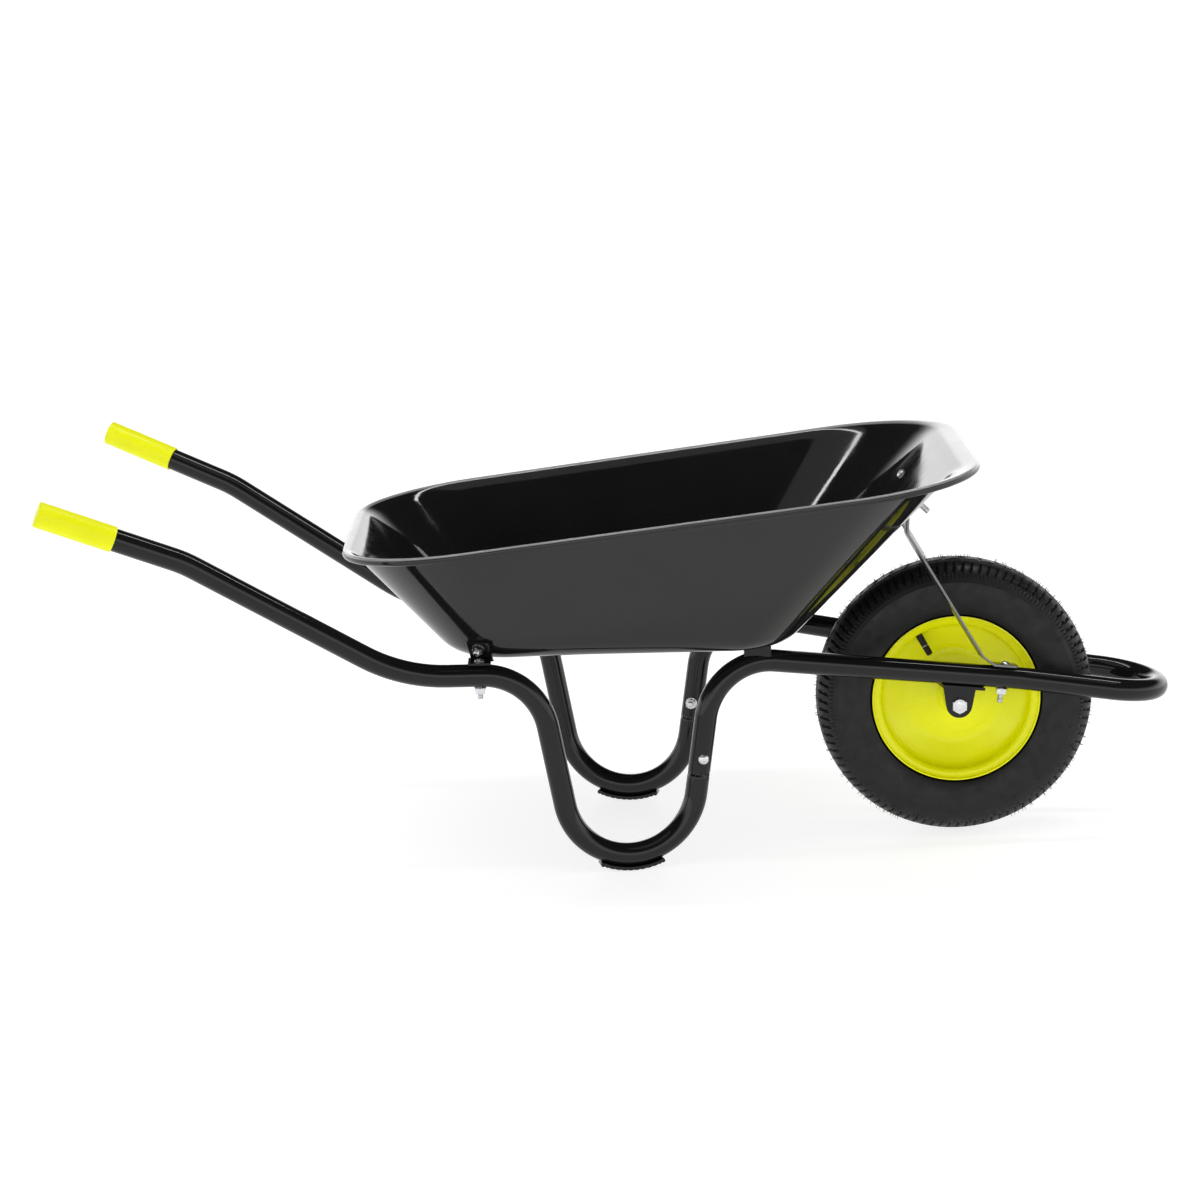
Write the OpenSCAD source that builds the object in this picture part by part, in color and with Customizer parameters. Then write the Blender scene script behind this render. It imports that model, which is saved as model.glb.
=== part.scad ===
// Garden wheelbarrow: pressed steel tray on a bent tube frame with one pneumatic wheel.
// +X points forward to the wheel, +Y is the user's left, +Z is up, and z = 0 is the ground.

/* [Frame] */
// Distance over the front hoop and the grip ends
overall_length = 1491; // [1460:1:1520]
// Outside diameter of the frame tube
tube_od = 30; // [28:0.5:32]
// Wall thickness of the frame tube
tube_wall = 1.5; // [1.2:0.1:2]
// Half the distance between the two tube centrelines at the feet
foot_half_gap = 185; // [180:1:190]
// Angle in plan between each side tube and the centreline
plan_angle = 11.94; // [11.5:0.1:12.5]
// Half the distance between the tubes beside the wheel
hoop_radius = 72; // [70:0.5:76]
// Downward slope of the front hoop, in mm per mm of length
hoop_slope = 0.14; // [0.12:0.01:0.15]

/* [Handles] */
// Outside diameter of a grip
grip_od = 33.6; // [33:0.2:36]
// Length of a grip
grip_length = 102; // [95:1:120]
// Height of the grip's end above the ground
grip_height = 522; // [510:1:530]

/* [Tray] */
// Height of the tray's underside above the ground
floor_z = 293; // [292:0.5:295]
// Sheet thickness of the tray
sheet = 1; // [0.8:0.1:1.2]
// Height of the rim above x = 0
rim_z = 476.6; // [465:1:485]
// Rise of the rim towards the front, in mm per mm of length
rim_slope = 0.1225; // [0.1:0.01:0.14]
// Foremost point of the rim
rim_front = 466; // [455:1:470]
// Rearmost point of the rim
rim_rear = -367; // [-375:1:-360]
// Radius of the rolled edge
bead_radius = 4; // [3:0.5:5]

/* [Wheel] */
// Radius over the tread
tyre_radius = 189; // [186:1:190]
// Width of the tyre
tyre_width = 92; // [86:1:94]
// Distance from the feet forward to the axle
axle_x = 451.7; // [448:0.1:455]
// Radius of the rim flange
flange_radius = 114.5; // [113:0.5:115]

/* [Brackets] */
// Width of the zinc plated brace straps
strap_width = 20; // [16:1:22]
// Thickness of the zinc plated brace straps
strap_thickness = 3; // [2.5:0.5:3.5]
// Thickness of the wear plate under each leg
wear_plate = 5; // [4:0.5:5]

/* [Hidden] */
$fn = 48;

paint = [0.03, 0.03, 0.03];
lime = [0.84, 0.86, 0.02];
zinc = [0.72, 0.73, 0.75];
rubber = [0.07, 0.07, 0.07];

tube_r = tube_od / 2;
tube_bore = tube_r - tube_wall;
taper = tan(plan_angle);
axle_z = tyre_radius;

// ---- Frame geometry ----

// Half the distance between the side tubes at a place along the barrow
function half_gap(x) = foot_half_gap - taper * x;

// A point on the left tube's vertical plane
function on_side(x, z) = [x, half_gap(x), z];
function unit(v) = v / norm(v);
function turn(a, v, b) = acos(unit(v - a) * unit(b - v));
function tangent_length(a, v, b, r) = r * tan(turn(a, v, b) / 2);

handle_fall = 0.41;
handle_dir = unit([1, -taper, -handle_fall]);
grip_tip_x = -overall_length / 2 + grip_od / 2 * sqrt(1 - handle_dir[0] * handle_dir[0]);
grip_tip = on_side(grip_tip_x, grip_height);

elbow_x = -560;
elbow = on_side(elbow_x, grip_height - handle_fall * (elbow_x - grip_tip_x));
knee = on_side(-290, 281);
rear_crown = on_side(-116.5, 273);
foot_z = wear_plate + tube_r;
heel = on_side(-69, foot_z);
toe = on_side(81, foot_z);
riser_lean = 0.1407;
joint_z = 127;
joint = on_side(toe[0] + riser_lean * (joint_z - foot_z), joint_z);
swage_top_z = 165;
swage_top = on_side(toe[0] + riser_lean * (swage_top_z - foot_z), swage_top_z);
crown_z = 281.5;
crown = on_side(toe[0] + riser_lean * (crown_z - foot_z), crown_z);

// Heel and toe bends meet in the middle of the foot
foot_bend = norm(toe - heel)
    / (tan(turn(rear_crown, heel, toe) / 2) + tan(turn(heel, toe, crown) / 2));
crown_bend = 84;

hoop_entry_x = (foot_half_gap - hoop_radius) / taper;
hoop_tip_x = overall_length / 2 - tube_r;
function hoop_z(x) = crown_z - hoop_slope * (x - crown[0]);
hoop_entry = [hoop_entry_x, hoop_radius, hoop_z(hoop_entry_x)];
hoop_corner = [hoop_tip_x, hoop_radius, hoop_z(hoop_tip_x)];
hoop_entry_bend = 120;

foot_corner_drop = (toe[0] - heel[0])
    / (riser_lean + (heel[0] - rear_crown[0]) / (rear_crown[2] - foot_z));
foot_corner = on_side(toe[0] - riser_lean * foot_corner_drop, foot_z - foot_corner_drop);

// The lower tube necks down just under the joint and slides up inside the hoop's leg
riser_dir = unit(swage_top - joint);
neck = joint - riser_dir * 3;
handle_bends = [180, 230, 93, foot_bend];

hoop_dir = unit(hoop_corner - hoop_entry);
hoop_end = hoop_corner - hoop_dir * hoop_radius;
hoop_side_path = [joint, crown, hoop_entry, hoop_end];
hoop_side_bends = [crown_bend, hoop_entry_bend];

// Places children with their axes along x, y and z at o
module placed(x, y, z, o) {
    multmatrix([
        [x[0], y[0], z[0], o[0]],
        [x[1], y[1], z[1], o[1]],
        [x[2], y[2], z[2], o[2]],
        [0, 0, 0, 1]
    ]) children();
}

// Places children with +Z from a towards b
module along(a, b) {
    z = unit(b - a);
    side = abs(z[1]) < 0.9 ? [0, 1, 0] : [1, 0, 0];
    x = unit(cross(side, z));
    placed(x, cross(z, x), z, a) children();
}

// A solid round bar following one bend
module bend_bar(a, v, b, bend, r) {
    u = unit(v - a);
    w = unit(b - v);
    inward = unit(w - (w * u) * u);
    start = v - u * tangent_length(a, v, b, bend);
    placed(-inward, u, cross(-inward, u), start + inward * bend)
        rotate_extrude(angle = turn(a, v, b), $fn = 96) translate([bend, 0]) circle(r = r);
}

// Repeats children on the left and the right
module both_sides() {
    children();
    mirror([0, 1, 0]) children();
}

// Left tube's own frame: X forward along the tube in plan, Z up, at the height of the ground
module side_frame(x) {
    translate([x, half_gap(x), 0]) rotate([0, 0, -plan_angle]) children();
}

// ---- Tubes, grips and feet ----

grip_wall_end = 3;
swage_r = tube_bore - 0.3;
leg_bolt_z = 146;
leg_bolt_x = toe[0] + riser_lean * (leg_bolt_z - foot_z);
bolt_hole = 4.2;
rear_bolt_x = -190;
brace_bolt_x = 511;

module leg_bolt_hole() {
    side_frame(leg_bolt_x) translate([0, 0, leg_bolt_z]) rotate([90, 0, 0])
        cylinder(r = bolt_hole, h = 60, center = true);
}

function rear_run_z(x) = knee[2]
    + (rear_crown[2] - knee[2]) * (x - knee[0]) / (rear_crown[0] - knee[0]);

ring_sides = 24;
degrees_a_ring = 10;

// Rings of a tube, each the middle, the way the tube runs there and the two radii
function ring_at(p, along, r, bore) = [p, along, r, bore];

function bend_rings(a, v, b, bend) = let (
    u = unit(v - a),
    w = unit(b - v),
    inward = unit(w - (w * u) * u),
    centre = v - u * tangent_length(a, v, b, bend) + inward * bend,
    steps = ceil(turn(a, v, b) / degrees_a_ring)
) [for (k = [0:steps]) let (angle = turn(a, v, b) * k / steps)
    ring_at(centre + bend * (u * sin(angle) - inward * cos(angle)),
        u * cos(angle) + inward * sin(angle), tube_r, tube_bore)];

function path_rings(path, bends) = let (last = len(path) - 1) concat(
    [ring_at(path[0], unit(path[1] - path[0]), tube_r, tube_bore)],
    [for (i = [1:last - 1]) each bend_rings(path[i - 1], path[i], path[i + 1], bends[i - 1])],
    [ring_at(path[last], unit(path[last] - path[last - 1]), tube_r, tube_bore)]
);

function mirrored_back(rings) = [for (i = [len(rings) - 1:-1:0]) let (p = rings[i][0], d = rings[i][1])
    ring_at([p[0], -p[1], p[2]], [-d[0], d[1], -d[2]], rings[i][2], rings[i][3])];

// A hollow tube through its rings, open at both ends
module tube_through(rings) {
    n = ring_sides;
    last = 2 * n * (len(rings) - 1);
    points = [for (ring = rings) let (side = unit(cross(ring[1], [0, 0, 1])), up = cross(side, ring[1]))
        each [for (r = [ring[2], ring[3]]) for (k = [0:n - 1])
            ring[0] + r * (side * cos(360 * k / n) + up * sin(360 * k / n))]];
    walls = [for (j = [0:len(rings) - 2]) for (k = [0:n - 1]) let (
        m = (k + 1) % n, a = 2 * n * j, b = a + 2 * n)
        each [[a + k, b + m, b + k], [a + k, a + m, b + m],
              [a + n + k, b + n + k, b + n + m], [a + n + k, b + n + m, a + n + m]]];
    ends = [for (k = [0:n - 1]) let (m = (k + 1) % n)
        each [[k, n + m, m], [k, n + k, n + m],
              [last + k, last + m, last + n + m], [last + k, last + n + m, last + n + k]]];
    polyhedron(points = points, faces = concat(walls, ends), convexity = 10);
}

module handle_tube() {
    path = [grip_tip + handle_dir * grip_wall_end, elbow, knee, rear_crown, foot_corner, neck];
    swage = [for (p = [joint - riser_dir * 0.4, swage_top])
        ring_at(p, riser_dir, swage_r, swage_r - tube_wall)];
    color(paint) difference() {
        tube_through(concat(path_rings(path, handle_bends), swage));
        leg_bolt_hole();
        translate([rear_bolt_x, half_gap(rear_bolt_x), rear_run_z(rear_bolt_x) - 30])
            cylinder(r = bolt_hole, h = 60);
    }
}

module front_hoop() {
    left = path_rings(hoop_side_path, hoop_side_bends);
    steps = 180 / degrees_a_ring;
    nose = [for (k = [1:steps - 1]) let (angle = 180 * k / steps)
        ring_at([hoop_end[0], 0, hoop_end[2]]
            + hoop_radius * (hoop_dir * sin(angle) + [0, cos(angle), 0]),
            hoop_dir * cos(angle) - [0, sin(angle), 0], tube_r, tube_bore)];
    color(paint) difference() {
        tube_through(concat(left, nose, mirrored_back(left)));
        both_sides() leg_bolt_hole();
        both_sides() at_brace_tube(-30) cylinder(r = bolt_hole, h = 60);
    }
}

module grip() {
    edge = 2;
    color(lime) along(grip_tip, grip_tip + handle_dir) difference() {
        rotate_extrude($fn = 96) polygon([
            [0, 0], [grip_od / 2 - edge, 0], [grip_od / 2 - 0.6, 0.6], [grip_od / 2, edge],
            [grip_od / 2, grip_length - 1], [grip_od / 2 - 0.6, grip_length], [0, grip_length]
        ]);
        translate([0, 0, grip_wall_end]) cylinder(r = tube_r + 0.02, h = grip_length);
    }
}

plate_half_angle = 22;
plate_half_width = 13;

module wear_plate_shoe() {
    centre_x = heel[0]
        + tangent_length(rear_crown, heel, toe, foot_bend) * cos(plan_angle);
    inner = foot_bend + tube_r + 0.02;
    outer = foot_bend + tube_r + wear_plate;
    color(paint) side_frame(centre_x) translate([0, 0, foot_z + foot_bend]) rotate([90, 0, 0]) {
        rotate([0, 0, -90 - plate_half_angle]) rotate_extrude(angle = 2 * plate_half_angle)
            translate([inner, -plate_half_width])
                square([outer - inner, 2 * plate_half_width]);
        for (a = [-1, 1]) rotate([0, 0, -90 + a * plate_half_angle])
            translate([inner + 3, 0, 0]) cylinder(r = 3, h = 2 * plate_half_width - 6, center = true);
    }
}

// ---- Tray: rings of points from the floor out to the rolled edge ----

arc_steps = 10;
side_steps = 8;
end_steps = 4;
wall_steps = 3;
blend_steps = 5;
bead_steps = 6;

// A rounded outline as points, left front corner first, going round anticlockwise:
// front and rear ends, half widths at the front and the rear, and the corner radius
function outline(front, rear, half_front, half_rear, radius) = let (
    corners = [
        [front, half_front, 0], [rear, half_rear, 90],
        [rear, -half_rear, 180], [front, -half_front, 270]
    ],
    steps = [side_steps, end_steps, side_steps, end_steps],
    arc = function (c) [for (i = [0:arc_steps]) let (a = c[2] + 90 * i / arc_steps)
        [c[0] - sign(c[0]) * radius + radius * cos(a),
         c[1] - sign(c[1]) * radius + radius * sin(a)]]
) [for (k = [0:3]) let (here = arc(corners[k]), next = arc(corners[(k + 1) % 4]))
    each concat(here, [for (i = [1:steps[k] - 1])
        here[arc_steps] + (next[0] - here[arc_steps]) * i / steps[k]])];

function on_floor(p) = [p[0], p[1], floor_z];
function on_rim(p) = [p[0], p[1], rim_z + rim_slope * p[0]];

floor_blend = 26;
flat_outline = [for (p = outline(216 - floor_blend, floor_blend - 226, 196 - floor_blend,
                                 212 - floor_blend, 70 - floor_blend)) on_floor(p)];
floor_outline = [for (p = outline(216, -226, 196, 212, 70)) on_floor(p)];
wall_outline = [for (p = outline(441, -358, 303, 291, 150)) on_rim(p)];
rim_outline = [for (p = outline(rim_front, rim_rear, 308, 296, 165)) on_rim(p)];
ring_size = len(floor_outline);

function bezier(a, b, c, t) = (1 - t) * (1 - t) * a + 2 * t * (1 - t) * b + t * t * c;

// One station's profile from the floor, up the wall and over the rolled edge
lip_blend = 18;
function profile(start, b, w, l) = let (
    up = unit(w - b),
    out = unit(l - w),
    rise = b + up * floor_blend,
    near_top = w - up * lip_blend,
    curl_out = unit([out[0], out[1], 0])
) concat(
    [for (i = [0:blend_steps]) bezier(start, b, rise, i / blend_steps)],
    [for (i = [1:wall_steps - 1]) rise + (near_top - rise) * i / wall_steps],
    [for (i = [0:blend_steps]) bezier(near_top, w, l, i / blend_steps)],
    [for (i = [1:bead_steps]) let (a = 90 - 225 * i / bead_steps)
        l + bead_radius * (curl_out * cos(a) + [0, 0, sin(a) - 1])]
);

underside = [for (i = [0:ring_size - 1])
    profile(flat_outline[i], floor_outline[i], wall_outline[i], rim_outline[i])];
profile_size = len(underside[0]);

function normal_at(i, j) = let (
    a = underside[(i + 1) % ring_size][j] - underside[(i + ring_size - 1) % ring_size][j],
    b = underside[i][min(j + 1, profile_size - 1)] - underside[i][max(j - 1, 0)]
) unit(cross(b, a));

function topside(i, j) = j == 0 ? underside[i][0] + [0, 0, sheet]
    : underside[i][j] + normal_at(i, j) * sheet;

tray_points = concat(
    [for (j = [0:profile_size - 1]) for (i = [0:ring_size - 1]) underside[i][j]],
    [for (j = [0:profile_size - 1]) for (i = [0:ring_size - 1]) topside(i, j)]
);
top_start = profile_size * ring_size;
edge_start = (profile_size - 1) * ring_size;

tray_faces = concat(
    [[for (i = [ring_size - 1:-1:0]) i]],
    [[for (i = [0:ring_size - 1]) top_start + i]],
    [for (j = [0:profile_size - 2]) for (i = [0:ring_size - 1]) let (
        k = (i + 1) % ring_size, a = j * ring_size, b = a + ring_size)
        each [[a + i, b + k, b + i], [a + i, a + k, b + k]]],
    [for (j = [0:profile_size - 2]) for (i = [0:ring_size - 1]) let (
        k = (i + 1) % ring_size, a = top_start + j * ring_size, b = a + ring_size)
        each [[a + i, b + i, b + k], [a + i, b + k, a + k]]],
    [for (i = [0:ring_size - 1]) let (k = (i + 1) % ring_size)
        each [[edge_start + i, top_start + edge_start + k, top_start + edge_start + i],
              [edge_start + i, edge_start + k, top_start + edge_start + k]]]
);

// Front wall's outer face, as a point on it and the way it leans
wall_lean = atan2(rim_z + rim_slope * 441 - floor_z, 441 - 216);
function front_wall_z(x) = floor_z + (x - 216) * tan(wall_lean);
brace_tray_x = 390;
brace_tray = [brace_tray_x, half_gap(brace_tray_x), front_wall_z(brace_tray_x)];

// Rear corner's outer face beside the rear bracket, and the way that it faces
rear_wall_lean = 57.9;
rear_wall_turn = 18.3;
rear_tray_y = 218.35;
rear_tray_z = 314;

front_tray_x = 176;
front_tray_y = half_gap(front_tray_x) - 32;

// Bolt axes through the tray; each points out of the tray from the sheet's outer face
module at_brace_tray() { translate(brace_tray) rotate([0, 180 - wall_lean, 0]) children(); }
module at_rear_tray() {
    translate([rear_bolt_x, rear_tray_y, rear_tray_z])
        rotate([rear_wall_lean - 180, 0, rear_wall_turn]) children();
}
module at_front_tray() { translate([front_tray_x, front_tray_y, floor_z]) rotate([180, 0, 0]) children(); }

module tray() {
    color(paint) difference() {
        polyhedron(points = tray_points, faces = tray_faces, convexity = 6);
        both_sides() {
            at_brace_tray() translate([0, 0, -8]) cylinder(r = bolt_hole, h = 16);
            at_rear_tray() translate([0, 0, -8]) cylinder(r = bolt_hole, h = 16);
            at_front_tray() translate([0, 0, -sheet]) flush_hole(4);
        }
    }
}

// ---- Brackets ----

rear_plate = 3;
rear_bracket_width = 30;
rear_seat_z = rear_run_z(rear_bolt_x) + tube_r + 0.9;

module rear_bracket() {
    y = half_gap(rear_bolt_x);
    color(paint) difference() {
        union() {
            translate([rear_bolt_x - rear_bracket_width / 2, y - 24, rear_seat_z])
                cube([rear_bracket_width, 36.5, rear_plate]);
            at_rear_tray() translate([-rear_bracket_width / 2, -9, 0.5])
                cube([rear_bracket_width, 36, rear_plate]);
        }
        translate([rear_bolt_x, y, rear_seat_z - 1]) cylinder(r = bolt_hole, h = 8);
        at_rear_tray() cylinder(r = bolt_hole, h = 8);
        translate([rear_bolt_x - 20, y - 40, rear_seat_z - 20]) cube([40, 60, 20]);
    }
}

saddle_length = 36;
saddle_plate = 3;
saddle_width = 22;

module front_saddle() {
    y = half_gap(front_tray_x);
    color(paint) difference() {
        union() {
            translate([front_tray_x - saddle_length / 2, y - 46, floor_z - saddle_plate - 0.1])
                cube([saddle_length, 46 + saddle_width / 2, saddle_plate]);
            translate([front_tray_x - saddle_length / 2, y - saddle_width / 2, floor_z - 14])
                cube([saddle_length, saddle_width, 12]);
        }
        bend_bar(joint, crown, hoop_entry, crown_bend, tube_r + 0.05);
        at_front_tray() translate([0, 0, -sheet]) flush_hole(10);
    }
}

strap_gap = 0.4;

module strap_segment(a, b) {
    step = b - a;
    translate(a) rotate(atan2(step[1], step[0])) translate([0, -strap_thickness / 2])
        square([norm(step), strap_thickness]);
    translate(b) circle(d = strap_thickness);
}

module brace_strap() {
    half = strap_thickness / 2;
    tube_top = tube_r / cos(atan(hoop_slope)) + half + 0.1;
    route = [
        [383.5, 462.5], [378, 432], [481, 258],
        [496, hoop_z(496) + tube_top], [530, hoop_z(530) + tube_top]
    ];
    local = [for (p = route) [(p[0] - brace_tray_x) / cos(plan_angle), p[1]]];
    color(zinc) difference() {
        union() {
            side_frame(brace_tray_x) rotate([90, 0, 0])
                linear_extrude(strap_width, center = true) {
                    for (i = [0:len(local) - 2]) strap_segment(local[i], local[i + 1]);
                    translate(local[0]) circle(d = strap_thickness);
                }
            at_brace_tray() translate([-16, -strap_width / 2, strap_gap])
                cube([34, strap_width, strap_thickness]);
        }
        at_brace_tray() cylinder(r = bolt_hole, h = 10);
        at_brace_tube(0) cylinder(r = bolt_hole, h = 40);
    }
}

bracket_face = 80;
bracket_plate = 4;
axle_hole = 6.1;
flange_half = 30;

module axle_bracket() {
    slope = atan(hoop_slope);
    tube_under = hoop_z(axle_x) - tube_r / cos(slope) - 0.1;
    rise = tube_under - axle_z;
    color(paint) {
        difference() {
            translate([axle_x, bracket_face, axle_z]) rotate([90, 0, 0])
                linear_extrude(bracket_plate) {
                    polygon([
                        [-23, rise + 23 * hoop_slope - 2], [23, rise - 23 * hoop_slope - 2],
                        [14.4, -2.6], [-14.4, -2.6]
                    ]);
                    circle(r = 14.6);
                }
            translate([axle_x, 60, axle_z]) rotate([-90, 0, 0]) cylinder(r = axle_hole, h = 40);
        }
        side_frame(axle_x) translate([0, 0, tube_under]) rotate([0, slope, 0])
            translate([-flange_half + 3, -21, -bracket_plate])
                cube([2 * flange_half, 30, bracket_plate]);
    }
}

// ---- Fasteners: heads at z = 0 pointing up, shanks going down ----

shank = 4;
flush_head_r = 7.2;

module dome_head(r, h) {
    sphere_r = (r * r + h * h) / (2 * h);
    intersection() {
        translate([0, 0, h - sphere_r]) sphere(r = sphere_r, $fn = 64);
        cylinder(r = r, h = h);
    }
}

module carriage_bolt(length) {
    dome_head(7, 4);
    translate([0, 0, -length]) cylinder(r = shank, h = length + 1);
}

// Sunk head, level with the tray floor, and the hole that it sits in; both go along +Z
module flush_bolt(length) {
    cylinder(r1 = flush_head_r, r2 = shank, h = flush_head_r - shank);
    cylinder(r = shank, h = length);
}

module flush_hole(depth) {
    translate([0, 0, -0.01])
        cylinder(r1 = flush_head_r + 0.21, r2 = bolt_hole, h = flush_head_r + 0.21 - bolt_hole);
    translate([0, 0, -0.5]) cylinder(r = bolt_hole, h = depth + 0.5);
}

module nut_and_washer(across, h) {
    difference() {
        union() {
            translate([0, 0, -1.6]) cylinder(r = across * 0.62, h = 1.6);
            translate([0, 0, -1.6 - h]) cylinder(r = across / sqrt(3), h = h, $fn = 6);
        }
        translate([0, 0, -h - 3]) cylinder(r = shank + 0.05, h = h + 6);
    }
}

nut_af = 13;
nut_h = 6.5;

module at_leg_bolt() {
    side_frame(leg_bolt_x) translate([0, 0, leg_bolt_z]) rotate([-90, 0, 0]) children();
}
module leg_bolts() {
    color(zinc) both_sides() at_leg_bolt() translate([0, 0, tube_r]) carriage_bolt(2 * tube_r + 12);
}
module leg_nuts() {
    color(zinc) both_sides() at_leg_bolt() translate([0, 0, -tube_r - 0.1]) nut_and_washer(nut_af, nut_h);
}

module at_rear_tube(z) { translate([rear_bolt_x, half_gap(rear_bolt_x), z]) children(); }
module rear_tube_bolts() {
    color(zinc) both_sides() at_rear_tube(rear_seat_z + rear_plate + 0.1) carriage_bolt(50);
}
module rear_tube_nuts() {
    color(zinc) both_sides() at_rear_tube(rear_run_z(rear_bolt_x) - tube_r - 0.8)
        nut_and_washer(nut_af, nut_h);
}

// Bolts through the tray: heads inside, nuts outside, past the plate of each bracket
module tray_bolt(grip, gap = 0.3) {
    rotate([180, 0, 0]) translate([0, 0, sheet + gap]) carriage_bolt(grip);
}
module tray_nut(stack) { translate([0, 0, stack + 0.2]) rotate([180, 0, 0]) nut_and_washer(nut_af, nut_h); }
module rear_tray_bolts() { color(zinc) both_sides() at_rear_tray() tray_bolt(18, 1); }
module rear_tray_nuts() {
    color(zinc) both_sides() at_rear_tray() tray_nut(rear_plate + 0.5);
}
module front_tray_bolts() {
    color(zinc) both_sides() at_front_tray() translate([0, 0, 0.05 - sheet]) flush_bolt(18);
}
module front_tray_nuts() {
    color(zinc) both_sides() at_front_tray() tray_nut(saddle_plate + 0.1);
}
module brace_tray_bolts() { color(zinc) both_sides() at_brace_tray() tray_bolt(26); }
module brace_tray_nuts() {
    color(zinc) both_sides() at_brace_tray() tray_nut(strap_thickness + strap_gap);
}

module at_brace_tube(up) {
    translate([brace_bolt_x, half_gap(brace_bolt_x), hoop_z(brace_bolt_x)])
        rotate([0, atan(hoop_slope), 0]) translate([0, 0, up]) children();
}
module brace_tube_bolts() {
    color(zinc) both_sides() at_brace_tube(tube_r + strap_thickness + 0.5) carriage_bolt(54);
}
module brace_tube_nuts() {
    color(zinc) both_sides() at_brace_tube(-tube_r - 0.2) nut_and_washer(nut_af, nut_h);
}

// ---- Axle and wheel: modelled about Z, then laid along Y with Z pointing left ----

axle_r = 6;
hub_half = 50;
hub_bore = 16;
hub_r = 18;
bearing_width = 10;
inner_race_r = 9.5;
outer_race_bore = 12.8;
inner_race_bore = axle_r + 0.05;
spacer_r = 9;
spacer_bore = 6.3;
ball_r = (outer_race_bore - inner_race_r) / 2 - 0.05;
ball_count = 9;
axle_washer_h = 2.5;

module at_axle() { translate([axle_x, 0, axle_z]) rotate([-90, 0, 0]) children(); }

module ring(r, bore, from, to) {
    translate([0, 0, from]) difference() {
        cylinder(r = r, h = to - from);
        translate([0, 0, -1]) cylinder(r = bore, h = to - from + 2);
    }
}

// One on each side of the wheel's middle
module each_bearing() {
    children();
    mirror([0, 0, 1]) children();
}

module axle_bolt() {
    tip = bracket_face + axle_washer_h + 15;
    color(zinc) at_axle() {
        translate([0, 0, -bracket_face - 7.6]) cylinder(r = 19 / sqrt(3), h = 7.5, $fn = 6);
        translate([0, 0, -bracket_face - 1]) cylinder(r = axle_r, h = bracket_face + 1 + tip);
    }
}
module axle_nut() {
    start = bracket_face + axle_washer_h + 0.2;
    color(zinc) at_axle() difference() {
        translate([0, 0, start]) cylinder(r = 19 / sqrt(3), h = 10, $fn = 6);
        translate([0, 0, start - 1]) cylinder(r = axle_r + 0.05, h = 12);
    }
}
module axle_washer() {
    color(zinc) at_axle() ring(12, axle_r + 0.4, bracket_face + 0.1, bracket_face + 0.1 + axle_washer_h);
}
module axle_spacers() {
    plate_inside = bracket_face - bracket_plate - 0.1;
    color(zinc) at_axle() {
        each_bearing() ring(spacer_r, spacer_bore, hub_half + 0.1, plate_inside);
        ring(spacer_r - 0.5, spacer_bore, -hub_half + bearing_width + 0.1, hub_half - bearing_width - 0.1);
    }
}
module bearing_inner_races() {
    color(zinc) at_axle() each_bearing()
        ring(inner_race_r, inner_race_bore, hub_half - bearing_width, hub_half);
}
module bearing_outer_races() {
    color(zinc) at_axle() each_bearing()
        ring(hub_bore - 0.02, outer_race_bore, hub_half - bearing_width, hub_half);
}
module bearing_balls() {
    orbit = (inner_race_r + outer_race_bore) / 2;
    color(zinc) at_axle() each_bearing()
        for (i = [0:ball_count - 1]) rotate([0, 0, 360 * i / ball_count])
            translate([orbit, 0, hub_half - bearing_width / 2]) sphere(r = ball_r, $fn = 24);
}
module hub_tube() {
    color(lime) at_axle() ring(hub_r, hub_bore, -hub_half, hub_half);
}

// Valve line in the wheel's own frame: radius, then distance out from the middle
valve_angle = 120;
valve_root = [111.5, 16.2];
valve_collar = [82, 24.4];
valve_tip = [68.6, 28.2];

module on_valve_line(from, to, r_from, r_to) {
    step = to - from;
    rotate([0, 0, -valve_angle]) translate([from[0], 0, -from[1]])
        rotate([0, atan2(step[0], -step[1]), 0])
            cylinder(r1 = r_from, r2 = r_to, h = norm(step));
}

rim_sheet = 1.8;
// Outer face of one pressed half rim, as radius and distance out from the middle
rim_face = [
    [hub_r + 0.05, 22], [hub_r + 3, 22], [hub_r + 7, 18], [54, 8], [58, 6.4], [62, 5.2],
    [66, 5], [70, 5.6], [90, 13], [96, 15.6], [99.5, 19], [101, 24], [101.2, 30],
    [102.5, 33], [105, 35], [109, 36], [flange_radius - 3.2, 37],
    [flange_radius - 2.1, 38.6], [flange_radius - rim_sheet, 40.4]
];
function rim_normal(i) = let (
    d = rim_face[min(i + 1, len(rim_face) - 1)] - rim_face[max(i - 1, 0)]
) [d[1], -d[0]] / norm(d);

module half_rim() {
    back = [for (i = [len(rim_face) - 1:-1:0]) rim_face[i] + rim_normal(i) * rim_sheet];
    rotate_extrude($fn = 96) polygon(concat(rim_face, back));
}

module rim_left() {
    color(lime) at_axle() half_rim();
}
module rim_right() {
    color(lime) at_axle() difference() {
        mirror([0, 0, 1]) half_rim();
        on_valve_line(valve_root + [4, -1.2], valve_collar, 6, 6);
    }
}

tyre_wall = 7;
bead_seat = 103.8;
section_height = 90;
section_centre = tyre_radius - section_height / 2;

// A fuller-than-round section, as radius and distance out from the middle
function section(inset) = [for (a = [0:6:354]) let (
    c = cos(a), s = sin(a), full = 2 / 2.5
) [section_centre + (section_height / 2 - inset) * sign(c) * pow(abs(c), full),
   (tyre_width / 2 - inset) * sign(s) * pow(abs(s), full)]];

module tyre() {
    bead_top = 117;
    bead_out = 31.5;
    color(rubber) at_axle() rotate_extrude($fn = 96) difference() {
        polygon(section(0));
        polygon(section(tyre_wall));
        translate([90, -25.5]) square([23, 51]);
        translate([90, -60]) square([bead_seat - 90, 120]);
        for (side = [-1, 1]) translate([90, side * (bead_out + 20) - 20]) square([bead_top - 90, 40]);
    }
}

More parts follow.
